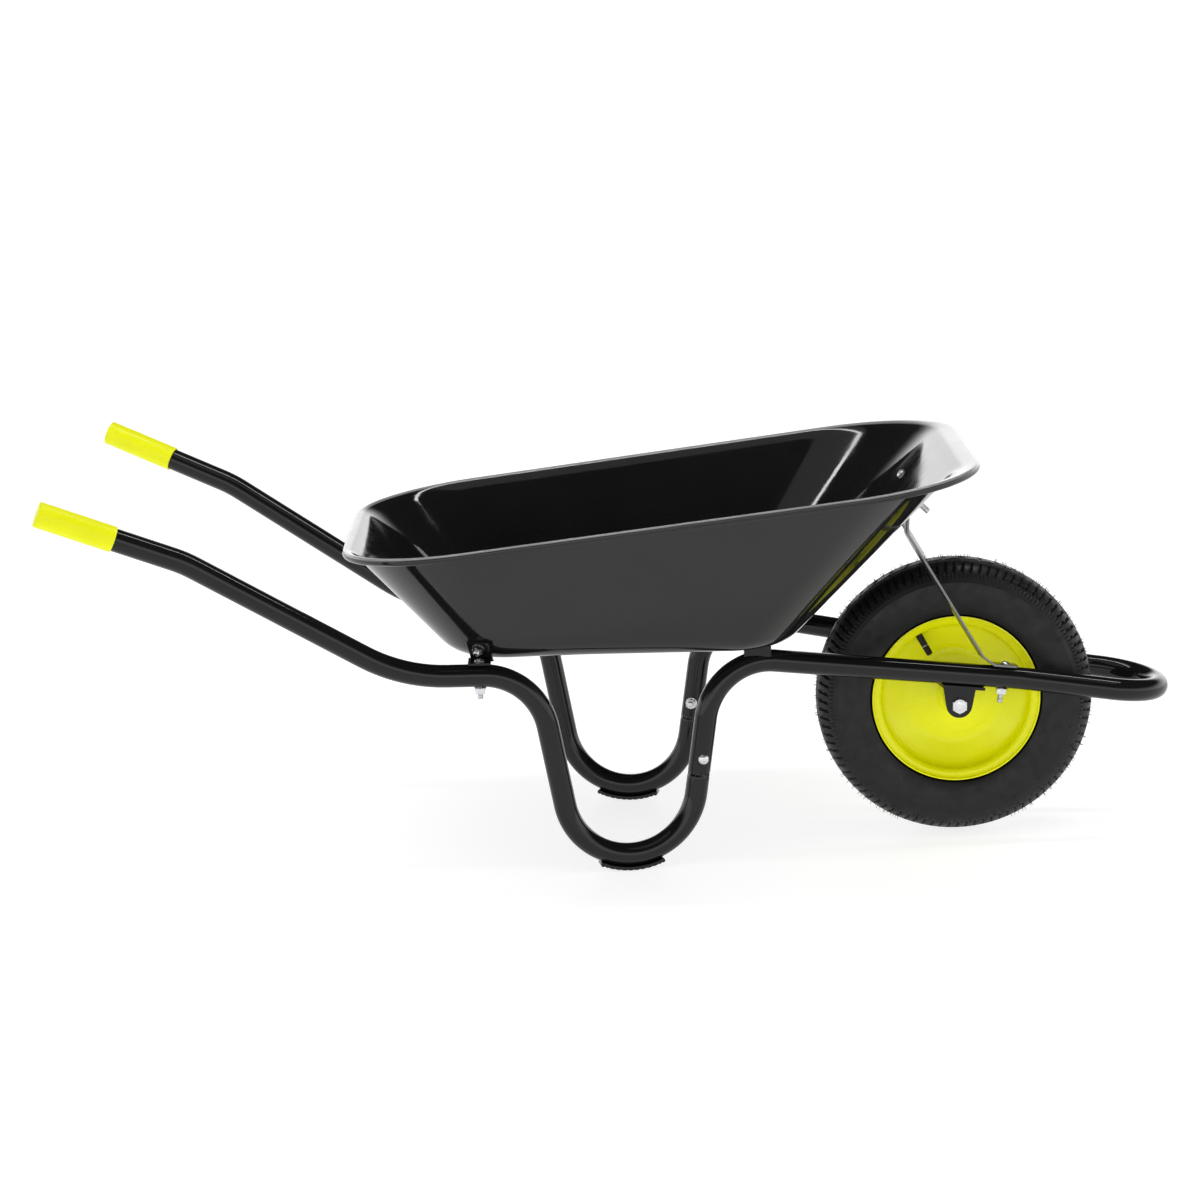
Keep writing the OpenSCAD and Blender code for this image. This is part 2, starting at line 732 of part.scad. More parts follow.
module inner_tube() {
    color(rubber) at_axle() difference() {
        rotate_extrude($fn = 96) translate([section_centre, 0]) difference() {
            circle(r = 35.5);
            circle(r = 33.5);
        }
        on_valve_line(valve_root + [4, -1.2], valve_collar, 5.6, 5.6);
    }
}

module valve_stem() {
    color(rubber) at_axle() on_valve_line(valve_root, valve_collar, 5.5, 4.6);
}
module valve_cap() {
    color(rubber) at_axle() on_valve_line(valve_collar + unit(valve_tip - valve_collar) * 0.1, valve_tip, 4.6, 4.2);
}

// ---- The assembly ----

tray();
handle_tube();  // handle_tube_left
mirror([0, 1, 0]) handle_tube();  // handle_tube_right
front_hoop();
grip();  // grip_left
mirror([0, 1, 0]) grip();  // grip_right
wear_plate_shoe();  // wear_plate_left
mirror([0, 1, 0]) wear_plate_shoe();  // wear_plate_right
rear_bracket();  // rear_bracket_left
mirror([0, 1, 0]) rear_bracket();  // rear_bracket_right
front_saddle();  // front_saddle_left
mirror([0, 1, 0]) front_saddle();  // front_saddle_right
brace_strap();  // brace_strap_left
mirror([0, 1, 0]) brace_strap();  // brace_strap_right
axle_bracket();  // axle_bracket_left
mirror([0, 1, 0]) axle_bracket();  // axle_bracket_right
axle_bolt();
axle_nut();
axle_washer();
axle_spacers();
bearing_inner_races();
bearing_balls();
bearing_outer_races();
hub_tube();
rim_left();
rim_right();
tyre();
inner_tube();
valve_stem();
valve_cap();
leg_bolts();
leg_nuts();
rear_tube_bolts();
rear_tube_nuts();
rear_tray_bolts();
rear_tray_nuts();
front_tray_bolts();
front_tray_nuts();
brace_tube_bolts();
brace_tube_nuts();
brace_tray_bolts();
brace_tray_nuts();
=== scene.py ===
import math

import bmesh
import bpy
from mathutils import Matrix, Vector


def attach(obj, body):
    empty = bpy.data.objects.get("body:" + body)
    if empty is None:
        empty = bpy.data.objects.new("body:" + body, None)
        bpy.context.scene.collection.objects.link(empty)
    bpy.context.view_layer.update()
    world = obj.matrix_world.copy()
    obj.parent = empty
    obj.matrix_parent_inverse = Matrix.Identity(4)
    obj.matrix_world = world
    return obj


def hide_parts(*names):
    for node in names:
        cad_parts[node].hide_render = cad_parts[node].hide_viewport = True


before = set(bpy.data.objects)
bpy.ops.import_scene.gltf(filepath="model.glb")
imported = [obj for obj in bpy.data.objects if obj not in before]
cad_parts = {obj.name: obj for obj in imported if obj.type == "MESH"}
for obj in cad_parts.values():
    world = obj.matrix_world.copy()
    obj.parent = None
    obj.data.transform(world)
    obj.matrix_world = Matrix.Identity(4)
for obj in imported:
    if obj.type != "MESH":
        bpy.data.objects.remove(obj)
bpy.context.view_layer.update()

# Sizes in millimetres, as the barrow's maker would give them
MM = 0.001
TUBE_RADIUS = 15
SWAGE_RADIUS = 13.2
PLAN_ANGLE = math.radians(11.94)
HOOP_RADIUS = 72
HOOP_SLOPE = 0.14
FOOT_HEIGHT = 20
RISER_LEAN = 0.1407
JOINT_HEIGHT = 127
CROWN_HEIGHT = 281.5
FLOOR_HEIGHT = 293
FLOOR_FRONT = 216
WALL_FRONT = 441
RIM_HEIGHT = 476.6
RIM_SLOPE = 0.1225
SHEET = 1
AXLE = Vector((451.7, 0, 189))
TYRE_RADIUS = 189
TYRE_WIDTH = 92
TYRE_DEPTH = 45
RIM_SHEET = 1.8


# ---------------------------------------------------------------- layout of the frame

def half_gap(x):
    """Half the distance between the side tubes at a place along the barrow."""
    return 185 - math.tan(PLAN_ANGLE) * x


def on_side(x, z):
    return Vector((x, half_gap(x), z))


def hoop_height(x):
    return CROWN_HEIGHT - HOOP_SLOPE * (x - CROWN.x)


def toe_at(z):
    return on_side(81 + RISER_LEAN * (z - FOOT_HEIGHT), z)


HALF_LENGTH = 745.5
HANDLE_SLOPE = 0.41
HANDLE_DIR = Vector((1, -math.tan(PLAN_ANGLE), -HANDLE_SLOPE)).normalized()
GRIP_RADIUS = 16.8
GRIP_TIP_X = -HALF_LENGTH + GRIP_RADIUS * math.sqrt(1 - HANDLE_DIR.x ** 2)
GRIP_TIP = on_side(GRIP_TIP_X, 522)
ELBOW = on_side(-560, GRIP_TIP.z - HANDLE_SLOPE * (-560 - GRIP_TIP_X))
KNEE = on_side(-290, 281)
REAR_CROWN = on_side(-116.5, 273)
HEEL = on_side(-69, FOOT_HEIGHT)
TOE = toe_at(FOOT_HEIGHT)
JOINT = toe_at(JOINT_HEIGHT)
SWAGE_TOP = toe_at(165)
CROWN = toe_at(CROWN_HEIGHT)
RISER_DIR = (SWAGE_TOP - JOINT).normalized()
FOOT_DROP = 150 / (RISER_LEAN + 47.5 / 253)
FOOT_CORNER = on_side(81 - RISER_LEAN * FOOT_DROP, FOOT_HEIGHT - FOOT_DROP)


def turn(a, v, b):
    return (v - a).angle(b - v)


FOOT_BEND = (TOE - HEEL).length / (math.tan(turn(REAR_CROWN, HEEL, TOE) / 2)
                                   + math.tan(turn(HEEL, TOE, CROWN) / 2))
HOOP_ENTRY_X = (185 - HOOP_RADIUS) / math.tan(PLAN_ANGLE)
HOOP_TIP_X = HALF_LENGTH - TUBE_RADIUS
HOOP_ENTRY = Vector((HOOP_ENTRY_X, HOOP_RADIUS, hoop_height(HOOP_ENTRY_X)))
HOOP_CORNER = Vector((HOOP_TIP_X, HOOP_RADIUS, hoop_height(HOOP_TIP_X)))
HOOP_DIR = (HOOP_CORNER - HOOP_ENTRY).normalized()
HOOP_END = HOOP_CORNER - HOOP_DIR * HOOP_RADIUS

MIRROR = Matrix.Diagonal((1, -1, 1, 1))


def place(x=0, y=0, z=0):
    return Matrix.Translation((x, y, z))


def spin(degrees, axis):
    return Matrix.Rotation(math.radians(degrees), 4, axis)


def side_frame(x):
    """X forward along the left tube in plan, Z up, at the height of the ground."""
    return place(x, half_gap(x)) @ Matrix.Rotation(-PLAN_ANGLE, 4, "Z")


def pair(matrix):
    """The same place on the left and on the right, neither turned inside out."""
    return [matrix, MIRROR @ matrix @ MIRROR]


WHEEL_PLACE = place(*AXLE) @ spin(-90, "X")


# ---------------------------------------------------------------- mesh helpers

def outward(bm):
    """A closed shell with its faces turned to point outwards."""
    if bm.calc_volume(signed=True) < 0:
        bmesh.ops.reverse_faces(bm, faces=bm.faces[:])
    return bm


def skinned(rings, loop=False, caps=False):
    """A skin over closed rings of points, turned so that its faces point outwards."""
    bm = bmesh.new()
    rows = [[bm.verts.new(p) for p in ring] for ring in rings]
    count = len(rows[0])
    for j in range(len(rows) - (0 if loop else 1)):
        here, there = rows[j], rows[(j + 1) % len(rows)]
        for k in range(count):
            m = (k + 1) % count
            bm.faces.new((here[k], here[m], there[m], there[k]))
    if caps:
        bm.faces.new(rows[0][::-1])
        bm.faces.new(rows[-1])
    return outward(bm)


def turned(outline, steps=96):
    """A closed outline of (radius, height) turned round Z."""
    rings = []
    for i in range(steps):
        a = 2 * math.pi * i / steps
        rings.append([(r * math.cos(a), r * math.sin(a), h) for r, h in outline])
    bm = skinned(rings, loop=True)
    bmesh.ops.remove_doubles(bm, verts=bm.verts[:], dist=1e-5)
    bmesh.ops.dissolve_degenerate(bm, edges=bm.edges[:], dist=1e-6)
    return bm


def moved(bm, matrix):
    bmesh.ops.transform(bm, matrix=matrix, verts=bm.verts[:])
    if matrix.determinant() < 0:
        bmesh.ops.reverse_faces(bm, faces=bm.faces[:])
    return bm


def joined(parts):
    """Several closed shells in one mesh."""
    whole = bmesh.new()
    for part in parts:
        mesh = bpy.data.meshes.new("part")
        part.to_mesh(mesh)
        part.free()
        whole.from_mesh(mesh)
        bpy.data.meshes.remove(mesh)
    return whole


def copied(bm, matrix):
    return moved(bm.copy(), matrix)


def filleted(points, radii, steps=6, closed=False):
    """The points with each corner rounded; works in two or three dimensions."""
    points = [Vector(p) for p in points]
    count = len(points)
    out = []
    for i, p in enumerate(points):
        r = radii[i] if isinstance(radii, (list, tuple)) else radii
        if r == 0 or (not closed and i in (0, count - 1)):
            out.append(p)
            continue
        a, b = points[i - 1], points[(i + 1) % count]
        u, w = (p - a).normalized(), (b - p).normalized()
        angle = u.angle(w, 0)
        if angle < 0.01:
            out.append(p)
            continue
        cut = min(r * math.tan(angle / 2), 0.49 * (p - a).length, 0.49 * (b - p).length)
        r = cut / math.tan(angle / 2)
        inward = (w - u * w.dot(u)).normalized()
        for k in range(steps + 1):
            t = angle * k / steps
            out.append(p - u * cut + r * (u * math.sin(t) + inward * (1 - math.cos(t))))
    return out


def piece(name, bm, finish, body, stands_for=(), smooth=35):
    """Puts a mesh made in millimetres into the barrow as a finished piece."""
    bm = moved(bm, Matrix.Scale(MM, 4))
    mesh = bpy.data.meshes.new(name)
    bm.to_mesh(mesh)
    bm.free()
    mesh.shade_smooth()
    mesh.set_sharp_from_angle(angle=math.radians(smooth))
    mesh.materials.append(finish)
    obj = bpy.data.objects.new(name, mesh)
    bpy.context.scene.collection.objects.link(obj)
    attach(obj, body)
    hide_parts(*stands_for)


def side_pieces(*kinds):
    """Each kind of piece on the left, and its mirror image on the right."""
    for side, matrix in (("left", Matrix.Identity(4)), ("right", MIRROR)):
        for kind, make, finish, slot in kinds:
            node = kind + "_" + side
            piece(node + "_shown", moved(make(), matrix), finish, "frame", [node])


# ---------------------------------------------------------------- Geometry Nodes helpers

class NodeMaker:
    """Adds nodes to a tree; a socket given as a value is linked, anything else is set."""

    def put(self, value, socket):
        if isinstance(value, bpy.types.NodeSocket):
            self.tree.links.new(value, socket)
        else:
            socket.default_value = value

    def add(self, kind, settings=None, **sockets):
        node = self.tree.nodes.new(kind)
        for key, value in (settings or {}).items():
            setattr(node, key, value)
        for key, value in sockets.items():
            self.put(value, node.inputs[key.replace("_", " ")])
        return node

    def combined(self, kind, operation, a, b):
        """A node whose first two inputs share one name, such as Math."""
        node = self.add(kind, {"operation": operation})
        self.put(a, node.inputs[0])
        self.put(b, node.inputs[1])
        return node

    def maths(self, operation, a, b):
        return self.combined("ShaderNodeMath", operation, a, b).outputs[0]


class Recipe(NodeMaker):
    """A Geometry Nodes tree with named inputs, built node by node."""

    def __init__(self, name, inputs):
        self.tree = bpy.data.node_groups.new(name, "GeometryNodeTree")
        self.tree.interface.new_socket("Shape", in_out="INPUT", socket_type="NodeSocketGeometry")
        for label, kind in inputs:
            self.tree.interface.new_socket(label, in_out="INPUT", socket_type=kind)
        self.tree.interface.new_socket("Shape", in_out="OUTPUT", socket_type="NodeSocketGeometry")
        self.given = self.tree.nodes.new("NodeGroupInput")

    def finish(self, shape):
        real = self.add("GeometryNodeRealizeInstances", Geometry=shape)
        smooth = self.add("GeometryNodeSetShadeSmooth", Geometry=real.outputs[0])
        coat = self.add("GeometryNodeSetMaterial", Geometry=smooth.outputs[0],
                        Material=self.given.outputs["Finish"])
        out = self.tree.nodes.new("NodeGroupOutput")
        self.tree.links.new(coat.outputs[0], out.inputs[0])
        return self


def grown(recipe, seed_mesh=None, **values):
    """Runs a recipe once, in metres, and returns the result as a bmesh in millimetres."""
    obj = bpy.data.objects.new("seed", seed_mesh or bpy.data.meshes.new("empty"))
    bpy.context.scene.collection.objects.link(obj)
    modifier = obj.modifiers.new("recipe", "NODES")
    modifier.node_group = recipe.tree
    for item in recipe.tree.interface.items_tree:
        if item.in_out == "INPUT" and item.name.replace(" ", "_") in values:
            modifier[item.identifier] = values[item.name.replace(" ", "_")]
    graph = bpy.context.evaluated_depsgraph_get()
    mesh = bpy.data.meshes.new_from_object(obj.evaluated_get(graph), depsgraph=graph)
    obj.modifiers.remove(modifier)
    bm = bmesh.new()
    bm.from_mesh(mesh)
    bpy.data.objects.remove(obj)
    bpy.data.meshes.remove(mesh)
    return moved(bm, Matrix.Scale(1 / MM, 4))


def tube_recipe():
    r = Recipe("bent tube", [("Sides", "NodeSocketInt"), ("Finish", "NodeSocketMaterial")])
    curve = r.add("GeometryNodeMeshToCurve", Mesh=r.given.outputs["Shape"])
    reach = r.add("GeometryNodeInputNamedAttribute", {"data_type": "FLOAT"}, Name="reach")
    section = r.add("GeometryNodeCurvePrimitiveCircle",
                    Resolution=r.given.outputs["Sides"], Radius=1.0)
    tube = r.add("GeometryNodeCurveToMesh", Curve=curve.outputs[0], Scale=reach.outputs[0],
                 Profile_Curve=section.outputs[0], Fill_Caps=True)
    return r.finish(tube.outputs[0])


def thread_recipe():
    r = Recipe("screw thread", [
        ("Radius", "NodeSocketFloat"), ("Pitch", "NodeSocketFloat"),
        ("Length", "NodeSocketFloat"), ("Crest", "NodeSocketFloat"),
        ("Finish", "NodeSocketMaterial")])
    turns = r.maths("DIVIDE", r.given.outputs["Length"], r.given.outputs["Pitch"])
    spiral = r.add("GeometryNodeCurveSpiral", Resolution=20, Rotations=turns,
                   Start_Radius=r.given.outputs["Radius"],
                   End_Radius=r.given.outputs["Radius"], Height=r.given.outputs["Length"])
    ridge = r.add("GeometryNodeCurvePrimitiveCircle", Resolution=4,
                  Radius=r.given.outputs["Crest"])
    thread = r.add("GeometryNodeCurveToMesh", Curve=spiral.outputs[0],
                   Profile_Curve=ridge.outputs[0], Fill_Caps=True)
    return r.finish(thread.outputs[0])


def ring_recipe():
    """Copies of a small ridge standing round a ring, such as the crimps at a tube's neck."""
    r = Recipe("ridges round a ring", [
        ("Ring Radius", "NodeSocketFloat"), ("Count", "NodeSocketInt"),
        ("Ridge Width", "NodeSocketFloat"), ("Ridge Height", "NodeSocketFloat"),
        ("Finish", "NodeSocketMaterial")])
    ring = r.add("GeometryNodeMeshCircle", Vertices=r.given.outputs["Count"],
                 Radius=r.given.outputs["Ring Radius"])
    size = r.add("ShaderNodeCombineXYZ", X=r.given.outputs["Ridge Width"],
                 Y=r.given.outputs["Ridge Width"], Z=r.given.outputs["Ridge Height"])
    ball = r.add("GeometryNodeMeshUVSphere", Segments=10, Rings=8, Radius=1.0)
    ridges = r.add("GeometryNodeInstanceOnPoints", Points=ring.outputs[0],
                   Instance=ball.outputs[0], Scale=size.outputs[0])
    return r.finish(ridges.outputs[0])


HAIR_WOBBLE = 0.25
HAIR_LIMIT = 0.172


def hair_recipe():
    """Moulding hairs on the tyre: thin rubber spikes leaning out from a ring."""
    r = Recipe("moulding hairs", [
        ("Ring Radius", "NodeSocketFloat"), ("Across", "NodeSocketFloat"),
        ("Lean", "NodeSocketFloat"), ("Count", "NodeSocketInt"),
        ("Hair Length", "NodeSocketFloat"), ("Hair Thickness", "NodeSocketFloat"),
        ("Kept Share", "NodeSocketFloat"), ("Seed", "NodeSocketInt"),
        ("Finish", "NodeSocketMaterial")])
    ring = r.add("GeometryNodeMeshCircle", Vertices=r.given.outputs["Count"],
                 Radius=r.given.outputs["Ring Radius"])
    shift = r.add("ShaderNodeCombineXYZ", Z=r.given.outputs["Across"])
    place_ring = r.add("GeometryNodeSetPosition", Geometry=ring.outputs[0],
                       Offset=shift.outputs[0])
    here = r.add("GeometryNodeInputPosition")
    split = r.add("ShaderNodeSeparateXYZ", Vector=here.outputs[0])
    flat = r.add("ShaderNodeCombineXYZ", X=split.outputs[0], Y=split.outputs[1])
    away = r.add("ShaderNodeVectorMath", {"operation": "NORMALIZE"}, Vector=flat.outputs[0])
    lean = r.add("ShaderNodeCombineXYZ", Z=r.given.outputs["Lean"])
    wobble = r.add("FunctionNodeRandomValue", {"data_type": "FLOAT_VECTOR"},
                   Seed=r.given.outputs["Seed"])
    r.put((-HAIR_WOBBLE,) * 3, wobble.inputs[0])
    r.put((HAIR_WOBBLE,) * 3, wobble.inputs[1])
    aim = r.combined("ShaderNodeVectorMath", "ADD", away.outputs[0], lean.outputs[0])
    bent = r.combined("ShaderNodeVectorMath", "ADD", aim.outputs[0], wobble.outputs[0])
    turn_to = r.add("FunctionNodeAlignRotationToVector", {"axis": "Z"}, Vector=bent.outputs[0])
    # No hair where the tyre stands on the ground
    high = r.add("FunctionNodeCompare", {"data_type": "FLOAT", "operation": "LESS_THAN"},
                 A=split.outputs[1], B=HAIR_LIMIT)
    chance = r.add("FunctionNodeRandomValue", {"data_type": "BOOLEAN"},
                   Probability=r.given.outputs["Kept Share"], Seed=r.given.outputs["Seed"])
    keep = r.combined("FunctionNodeBooleanMath", "AND", high.outputs[0], chance.outputs[3])
    spike = r.add("GeometryNodeMeshCone", Vertices=5, Side_Segments=1,
                  Radius_Top=r.maths("MULTIPLY", r.given.outputs["Hair Thickness"], 0.4),
                  Radius_Bottom=r.given.outputs["Hair Thickness"],
                  Depth=r.given.outputs["Hair Length"])
    hairs = r.add("GeometryNodeInstanceOnPoints", Points=place_ring.outputs[0],
                  Instance=spike.outputs[0], Selection=keep.outputs[0],
                  Rotation=turn_to.outputs[0])
    return r.finish(hairs.outputs[0])


# ---------------------------------------------------------------- finishes

# Heights of the painted highlight band along the tray's rolled rim
RIM_HIGHLIGHT_FROM, RIM_HIGHLIGHT_TO = 0.4745, 0.4764


class Finish(NodeMaker):
    """A procedural material on Object coordinates, built node by node."""

    def __init__(self, name, **sockets):
        self.material = bpy.data.materials.new(name)
        self.material.use_nodes = True
        self.tree = self.material.node_tree
        self.shader = self.tree.nodes["Principled BSDF"]
        for key, value in sockets.items():
            self.shader.inputs[key.replace("_", " ")].default_value = value
        self.place = self.add("ShaderNodeTexCoord").outputs["Object"]

    def stretched(self, x, y, z):
        return self.add("ShaderNodeMapping", Vector=self.place, Scale=(x, y, z)).outputs[0]

    def noise(self, scale, detail=3.0, roughness=0.5, where=None):
        return self.add("ShaderNodeTexNoise", Vector=where or self.place, Scale=scale,
                        Detail=detail, Roughness=roughness).outputs[0]

    def cells(self, scale):
        return self.add("ShaderNodeTexVoronoi", Vector=self.place, Scale=scale).outputs[0]

    def between(self, value, low, high, to_low, to_high):
        node = self.add("ShaderNodeMapRange", {"interpolation_type": "SMOOTHSTEP"})
        for socket, number in zip(node.inputs, (value, low, high, to_low, to_high)):
            self.put(number, socket)
        return node.outputs[0]

    def mixed(self, amount, a, b):
        node = self.add("ShaderNodeMix", {"data_type": "RGBA"})
        for index, value in ((0, amount), (6, a), (7, b)):
            self.put(value, node.inputs[index])
        return node.outputs[2]

    def bumped(self, heights, normal=None):
        """Each height is (pattern, strength, depth in metres)."""
        for pattern, strength, depth in heights:
            node = self.add("ShaderNodeBump", Height=pattern, Strength=strength,
                            Distance=depth)
            if normal is not None:
                self.put(normal, node.inputs["Normal"])
            normal = node.outputs[0]
        self.put(normal, self.shader.inputs["Normal"])

    def colour(self, value):
        self.put(value, self.shader.inputs["Base Color"])

    def roughness(self, value):
        self.put(value, self.shader.inputs["Roughness"])


def gloss_paint(name, shine, soft_edges=False, painted_rim_highlight=False):
    """Stoved gloss paint: slight orange peel, cloudy sheen, dust and hairline scratches."""
    light, dark = (0.005, 0.005, 0.005, 1), (0.009, 0.009, 0.009, 1)
    f = Finish(name, Specular_IOR_Level=shine)
    cloud = f.noise(9, 3)
    dust = f.between(f.noise(620, 2), 0.68, 0.8, 0.0, 0.2)
    body = f.mixed(dust, f.mixed(cloud, light, dark), (0.16, 0.16, 0.15, 1))
    if painted_rim_highlight:
        # Painted highlight: a patchy lighter grey band along the rolled edge, which slopes with the
        # tray's top
        height = f.combined("ShaderNodeVectorMath", "DOT_PRODUCT", f.place,
                            (-RIM_SLOPE, 0, 1)).outputs["Value"]
        edge = f.between(height, RIM_HIGHLIGHT_FROM, RIM_HIGHLIGHT_TO, 0.0, 1.0)
        patchy = f.between(f.noise(14, 3), 0.3, 0.6, 0.8, 1.0)
        body = f.mixed(f.maths("MULTIPLY", edge, patchy), body, (0.28, 0.28, 0.28, 1))
    f.colour(body)
    scratch = f.between(f.noise(60, 2, where=f.stretched(1, 9, 14)), 0.68, 0.74, 0.0, 0.16)
    f.roughness(f.maths("ADD", f.between(f.noise(26, 4), 0.3, 0.7, 0.05, 0.11), scratch))
    normal = None
    if soft_edges:
        normal = f.add("ShaderNodeBevel", {"samples": 4}, Radius=0.0007).outputs[0]
    f.bumped([(f.noise(260, 2), 0.06, 0.0004), (f.noise(34, 2), 0.05, 0.0015)], normal)
    return f.material


def lime_paint():
    f = Finish("lime enamel on pressed steel", Specular_IOR_Level=0.3)
    light, deep = (0.88, 0.89, 0.0, 1), (0.80, 0.82, 0.0, 1)
    body = f.mixed(f.noise(11, 3), light, deep)
    specks = f.between(f.noise(480, 2), 0.72, 0.8, 0.0, 0.4)
    f.colour(f.mixed(specks, body, (0.33, 0.33, 0.02, 1)))
    f.roughness(f.between(f.noise(30, 4), 0.3, 0.7, 0.2, 0.34))
    f.bumped([(f.noise(230, 2), 0.05, 0.0003), (f.noise(24, 2), 0.03, 0.0015)])
    return f.material


def lime_plastic():
    f = Finish("lime moulded grip plastic", Specular_IOR_Level=0.28)
    light, deep = (0.88, 0.90, 0.0, 1), (0.74, 0.78, 0.0, 1)
    body = f.mixed(f.noise(26, 3), light, deep)
    scuff = f.between(f.noise(110, 4, 0.6), 0.6, 0.75, 0.0, 0.3)
    f.colour(f.mixed(scuff, body, (0.50, 0.50, 0.10, 1)))
    f.roughness(f.between(f.noise(45, 4), 0.3, 0.7, 0.34, 0.52))
    f.bumped([(f.noise(1500, 2), 0.12, 0.0002), (f.noise(60, 3), 0.35, 0.0016)])
    return f.material


def zinc_plate(name, light, dark):
    f = Finish(name, Metallic=1.0)
    body = f.mixed(f.noise(150, 3), light, dark)
    tint = f.between(f.noise(45, 2), 0.5, 0.75, 0.0, 0.35)
    f.colour(f.mixed(tint, body, tuple(0.85 * c for c in light[:2]) + (0.6 * light[2], 1)))
    f.roughness(f.between(f.noise(300, 4), 0.3, 0.7, 0.2, 0.42))
    f.bumped([(f.noise(900, 3), 0.15, 0.0002), (f.cells(700), 0.06, 0.0002)],
             f.add("ShaderNodeBevel", {"samples": 4}, Radius=0.0003).outputs[0])
    return f.material


def bearing_steel():
    f = Finish("ground bearing steel", Metallic=1.0)
    body = f.mixed(f.noise(200, 3), (0.62, 0.62, 0.63, 1), (0.45, 0.45, 0.47, 1))
    f.colour(body)
    rings = f.noise(900, 2, where=f.stretched(1, 0.05, 1))
    f.roughness(f.between(rings, 0.3, 0.7, 0.14, 0.3))
    f.bumped([(rings, 0.08, 0.0001)])
    return f.material


def tyre_rubber():
    f = Finish("tyre rubber", Specular_IOR_Level=0.3)
    body = f.mixed(f.noise(24, 4), (0.004, 0.004, 0.004, 1), (0.009, 0.009, 0.009, 1))
    bloom = f.between(f.noise(70, 5, 0.65), 0.58, 0.78, 0.0, 0.2)
    f.colour(f.mixed(bloom, body, (0.05, 0.047, 0.042, 1)))
    f.roughness(f.between(f.noise(60, 4), 0.3, 0.7, 0.36, 0.6))
    f.bumped([(f.noise(1400, 3), 0.25, 0.0003), (f.noise(160, 3), 0.15, 0.0006)])
    return f.material


def smooth_rubber():
    f = Finish("smooth black rubber", Specular_IOR_Level=0.25)
    f.colour(f.mixed(f.noise(120, 3), (0.006, 0.006, 0.006, 1), (0.012, 0.012, 0.012, 1)))
    f.roughness(f.between(f.noise(90, 3), 0.3, 0.7, 0.36, 0.55))
    f.bumped([(f.noise(1300, 2), 0.15, 0.0002)])
    return f.material


black = gloss_paint("gloss black paint on tube", 0.3)
# The tray's paint has a painted highlight along its rolled rim
black_tray = gloss_paint("gloss black paint with a rubbed rim", 0.42, painted_rim_highlight=True)
black_edged = gloss_paint("gloss black paint on folded plate", 0.3, soft_edges=True)
lime = lime_paint()
grip_plastic = lime_plastic()
zinc = zinc_plate("bright zinc plate", (0.74, 0.75, 0.77, 1), (0.55, 0.56, 0.59, 1))
# A darker copy of the zinc finish, used on the brace straps and the rear tray nuts
darker_zinc = zinc_plate("darker zinc plate", (0.24, 0.24, 0.24, 1), (0.14, 0.14, 0.14, 1))
bearing = bearing_steel()
tread = tyre_rubber()
soft_black = smooth_rubber()


# ---------------------------------------------------------------- tubes

TUBES = tube_recipe()
RIDGES = ring_recipe()


def bend_points(a, v, b, radius, step=3.0):
    u, w = (v - a).normalized(), (b - v).normalized()
    angle = turn(a, v, b)
    inward = (w - u * w.dot(u)).normalized()
    cut = radius * math.tan(angle / 2)
    steps = max(2, math.ceil(math.degrees(angle) / step))
    return [v - u * cut + radius * (u * math.sin(angle * k / steps)
                                    + inward * (1 - math.cos(angle * k / steps)))
            for k in range(steps + 1)]


def tube_path(path, bends):
    out = [path[0]]
    for i in range(1, len(path) - 1):
        out += bend_points(path[i - 1], path[i], path[i + 1], bends[i - 1])
    return out + [path[-1]]


def path_mesh(stations):
    """A chain of edges through (point, radius) stations, in metres."""
    mesh = bpy.data.meshes.new("path")
    mesh.from_pydata([p * MM for p, r in stations],
                     [(i, i + 1) for i in range(len(stations) - 1)], [])
    reach = mesh.attributes.new("reach", "FLOAT", "POINT")
    reach.data.foreach_set("value", [r * MM for p, r in stations])
    return mesh


def tube_along(stations, finish):
    return outward(grown(TUBES, path_mesh(stations), Sides=64, Finish=finish))


def frame_along(origin, direction):
    return Matrix.Translation(origin) @ direction.to_track_quat("Z", "Y").to_matrix().to_4x4()


def handle_tube():
    path = [GRIP_TIP + HANDLE_DIR * 3, ELBOW, KNEE, REAR_CROWN, FOOT_CORNER,
            JOINT - RISER_DIR * 9]
    stations = [(p, TUBE_RADIUS) for p in tube_path(path, [180, 230, 93, FOOT_BEND])]
    for below, radius in ((7, 14.8), (5.2, 14.2), (3.8, 13.6), (2.4, 13.3)):
        stations.append((JOINT - RISER_DIR * below, radius))
    stations += [(JOINT, SWAGE_RADIUS), (SWAGE_TOP, SWAGE_RADIUS)]
    crimps = grown(RIDGES, Ring_Radius=SWAGE_RADIUS * MM, Count=11, Ridge_Width=1.5 * MM,
                   Ridge_Height=4.2 * MM, Finish=black)
    moved(crimps, frame_along(JOINT - RISER_DIR * 3.6, RISER_DIR))
    return joined([tube_along(stations, black), crimps])


def front_hoop():
    left = tube_path([JOINT, CROWN, HOOP_ENTRY, HOOP_END], [84, 120])
    nose = [Vector((HOOP_END.x, 0, HOOP_END.z)) + HOOP_RADIUS
            * (HOOP_DIR * math.sin(a) + Vector((0, math.cos(a), 0)))
            for a in (math.radians(3 * k) for k in range(1, 60))]
    right = [Vector((p.x, -p.y, p.z)) for p in reversed(left)]
    return tube_along([(p, TUBE_RADIUS) for p in left + nose + right], black)


side_pieces(("handle_tube", handle_tube, black, "black_paint"))
piece("front_hoop_shown", front_hoop(), black, "frame", ["front_hoop"])


# ---------------------------------------------------------------- grips and feet

def grip():
    """A sleeve closed at its end."""
    length, radius, bore, end = 102, GRIP_RADIUS, TUBE_RADIUS + 0.05, 3
    profile = filleted([(0, 0), (radius, 0), (radius, length), (bore, length), (bore, end),
                        (0, end)], [0, 1.8, 0.6, 0.2, 0.2, 0], steps=6)
    return moved(turned(profile, 128), frame_along(GRIP_TIP, HANDLE_DIR))


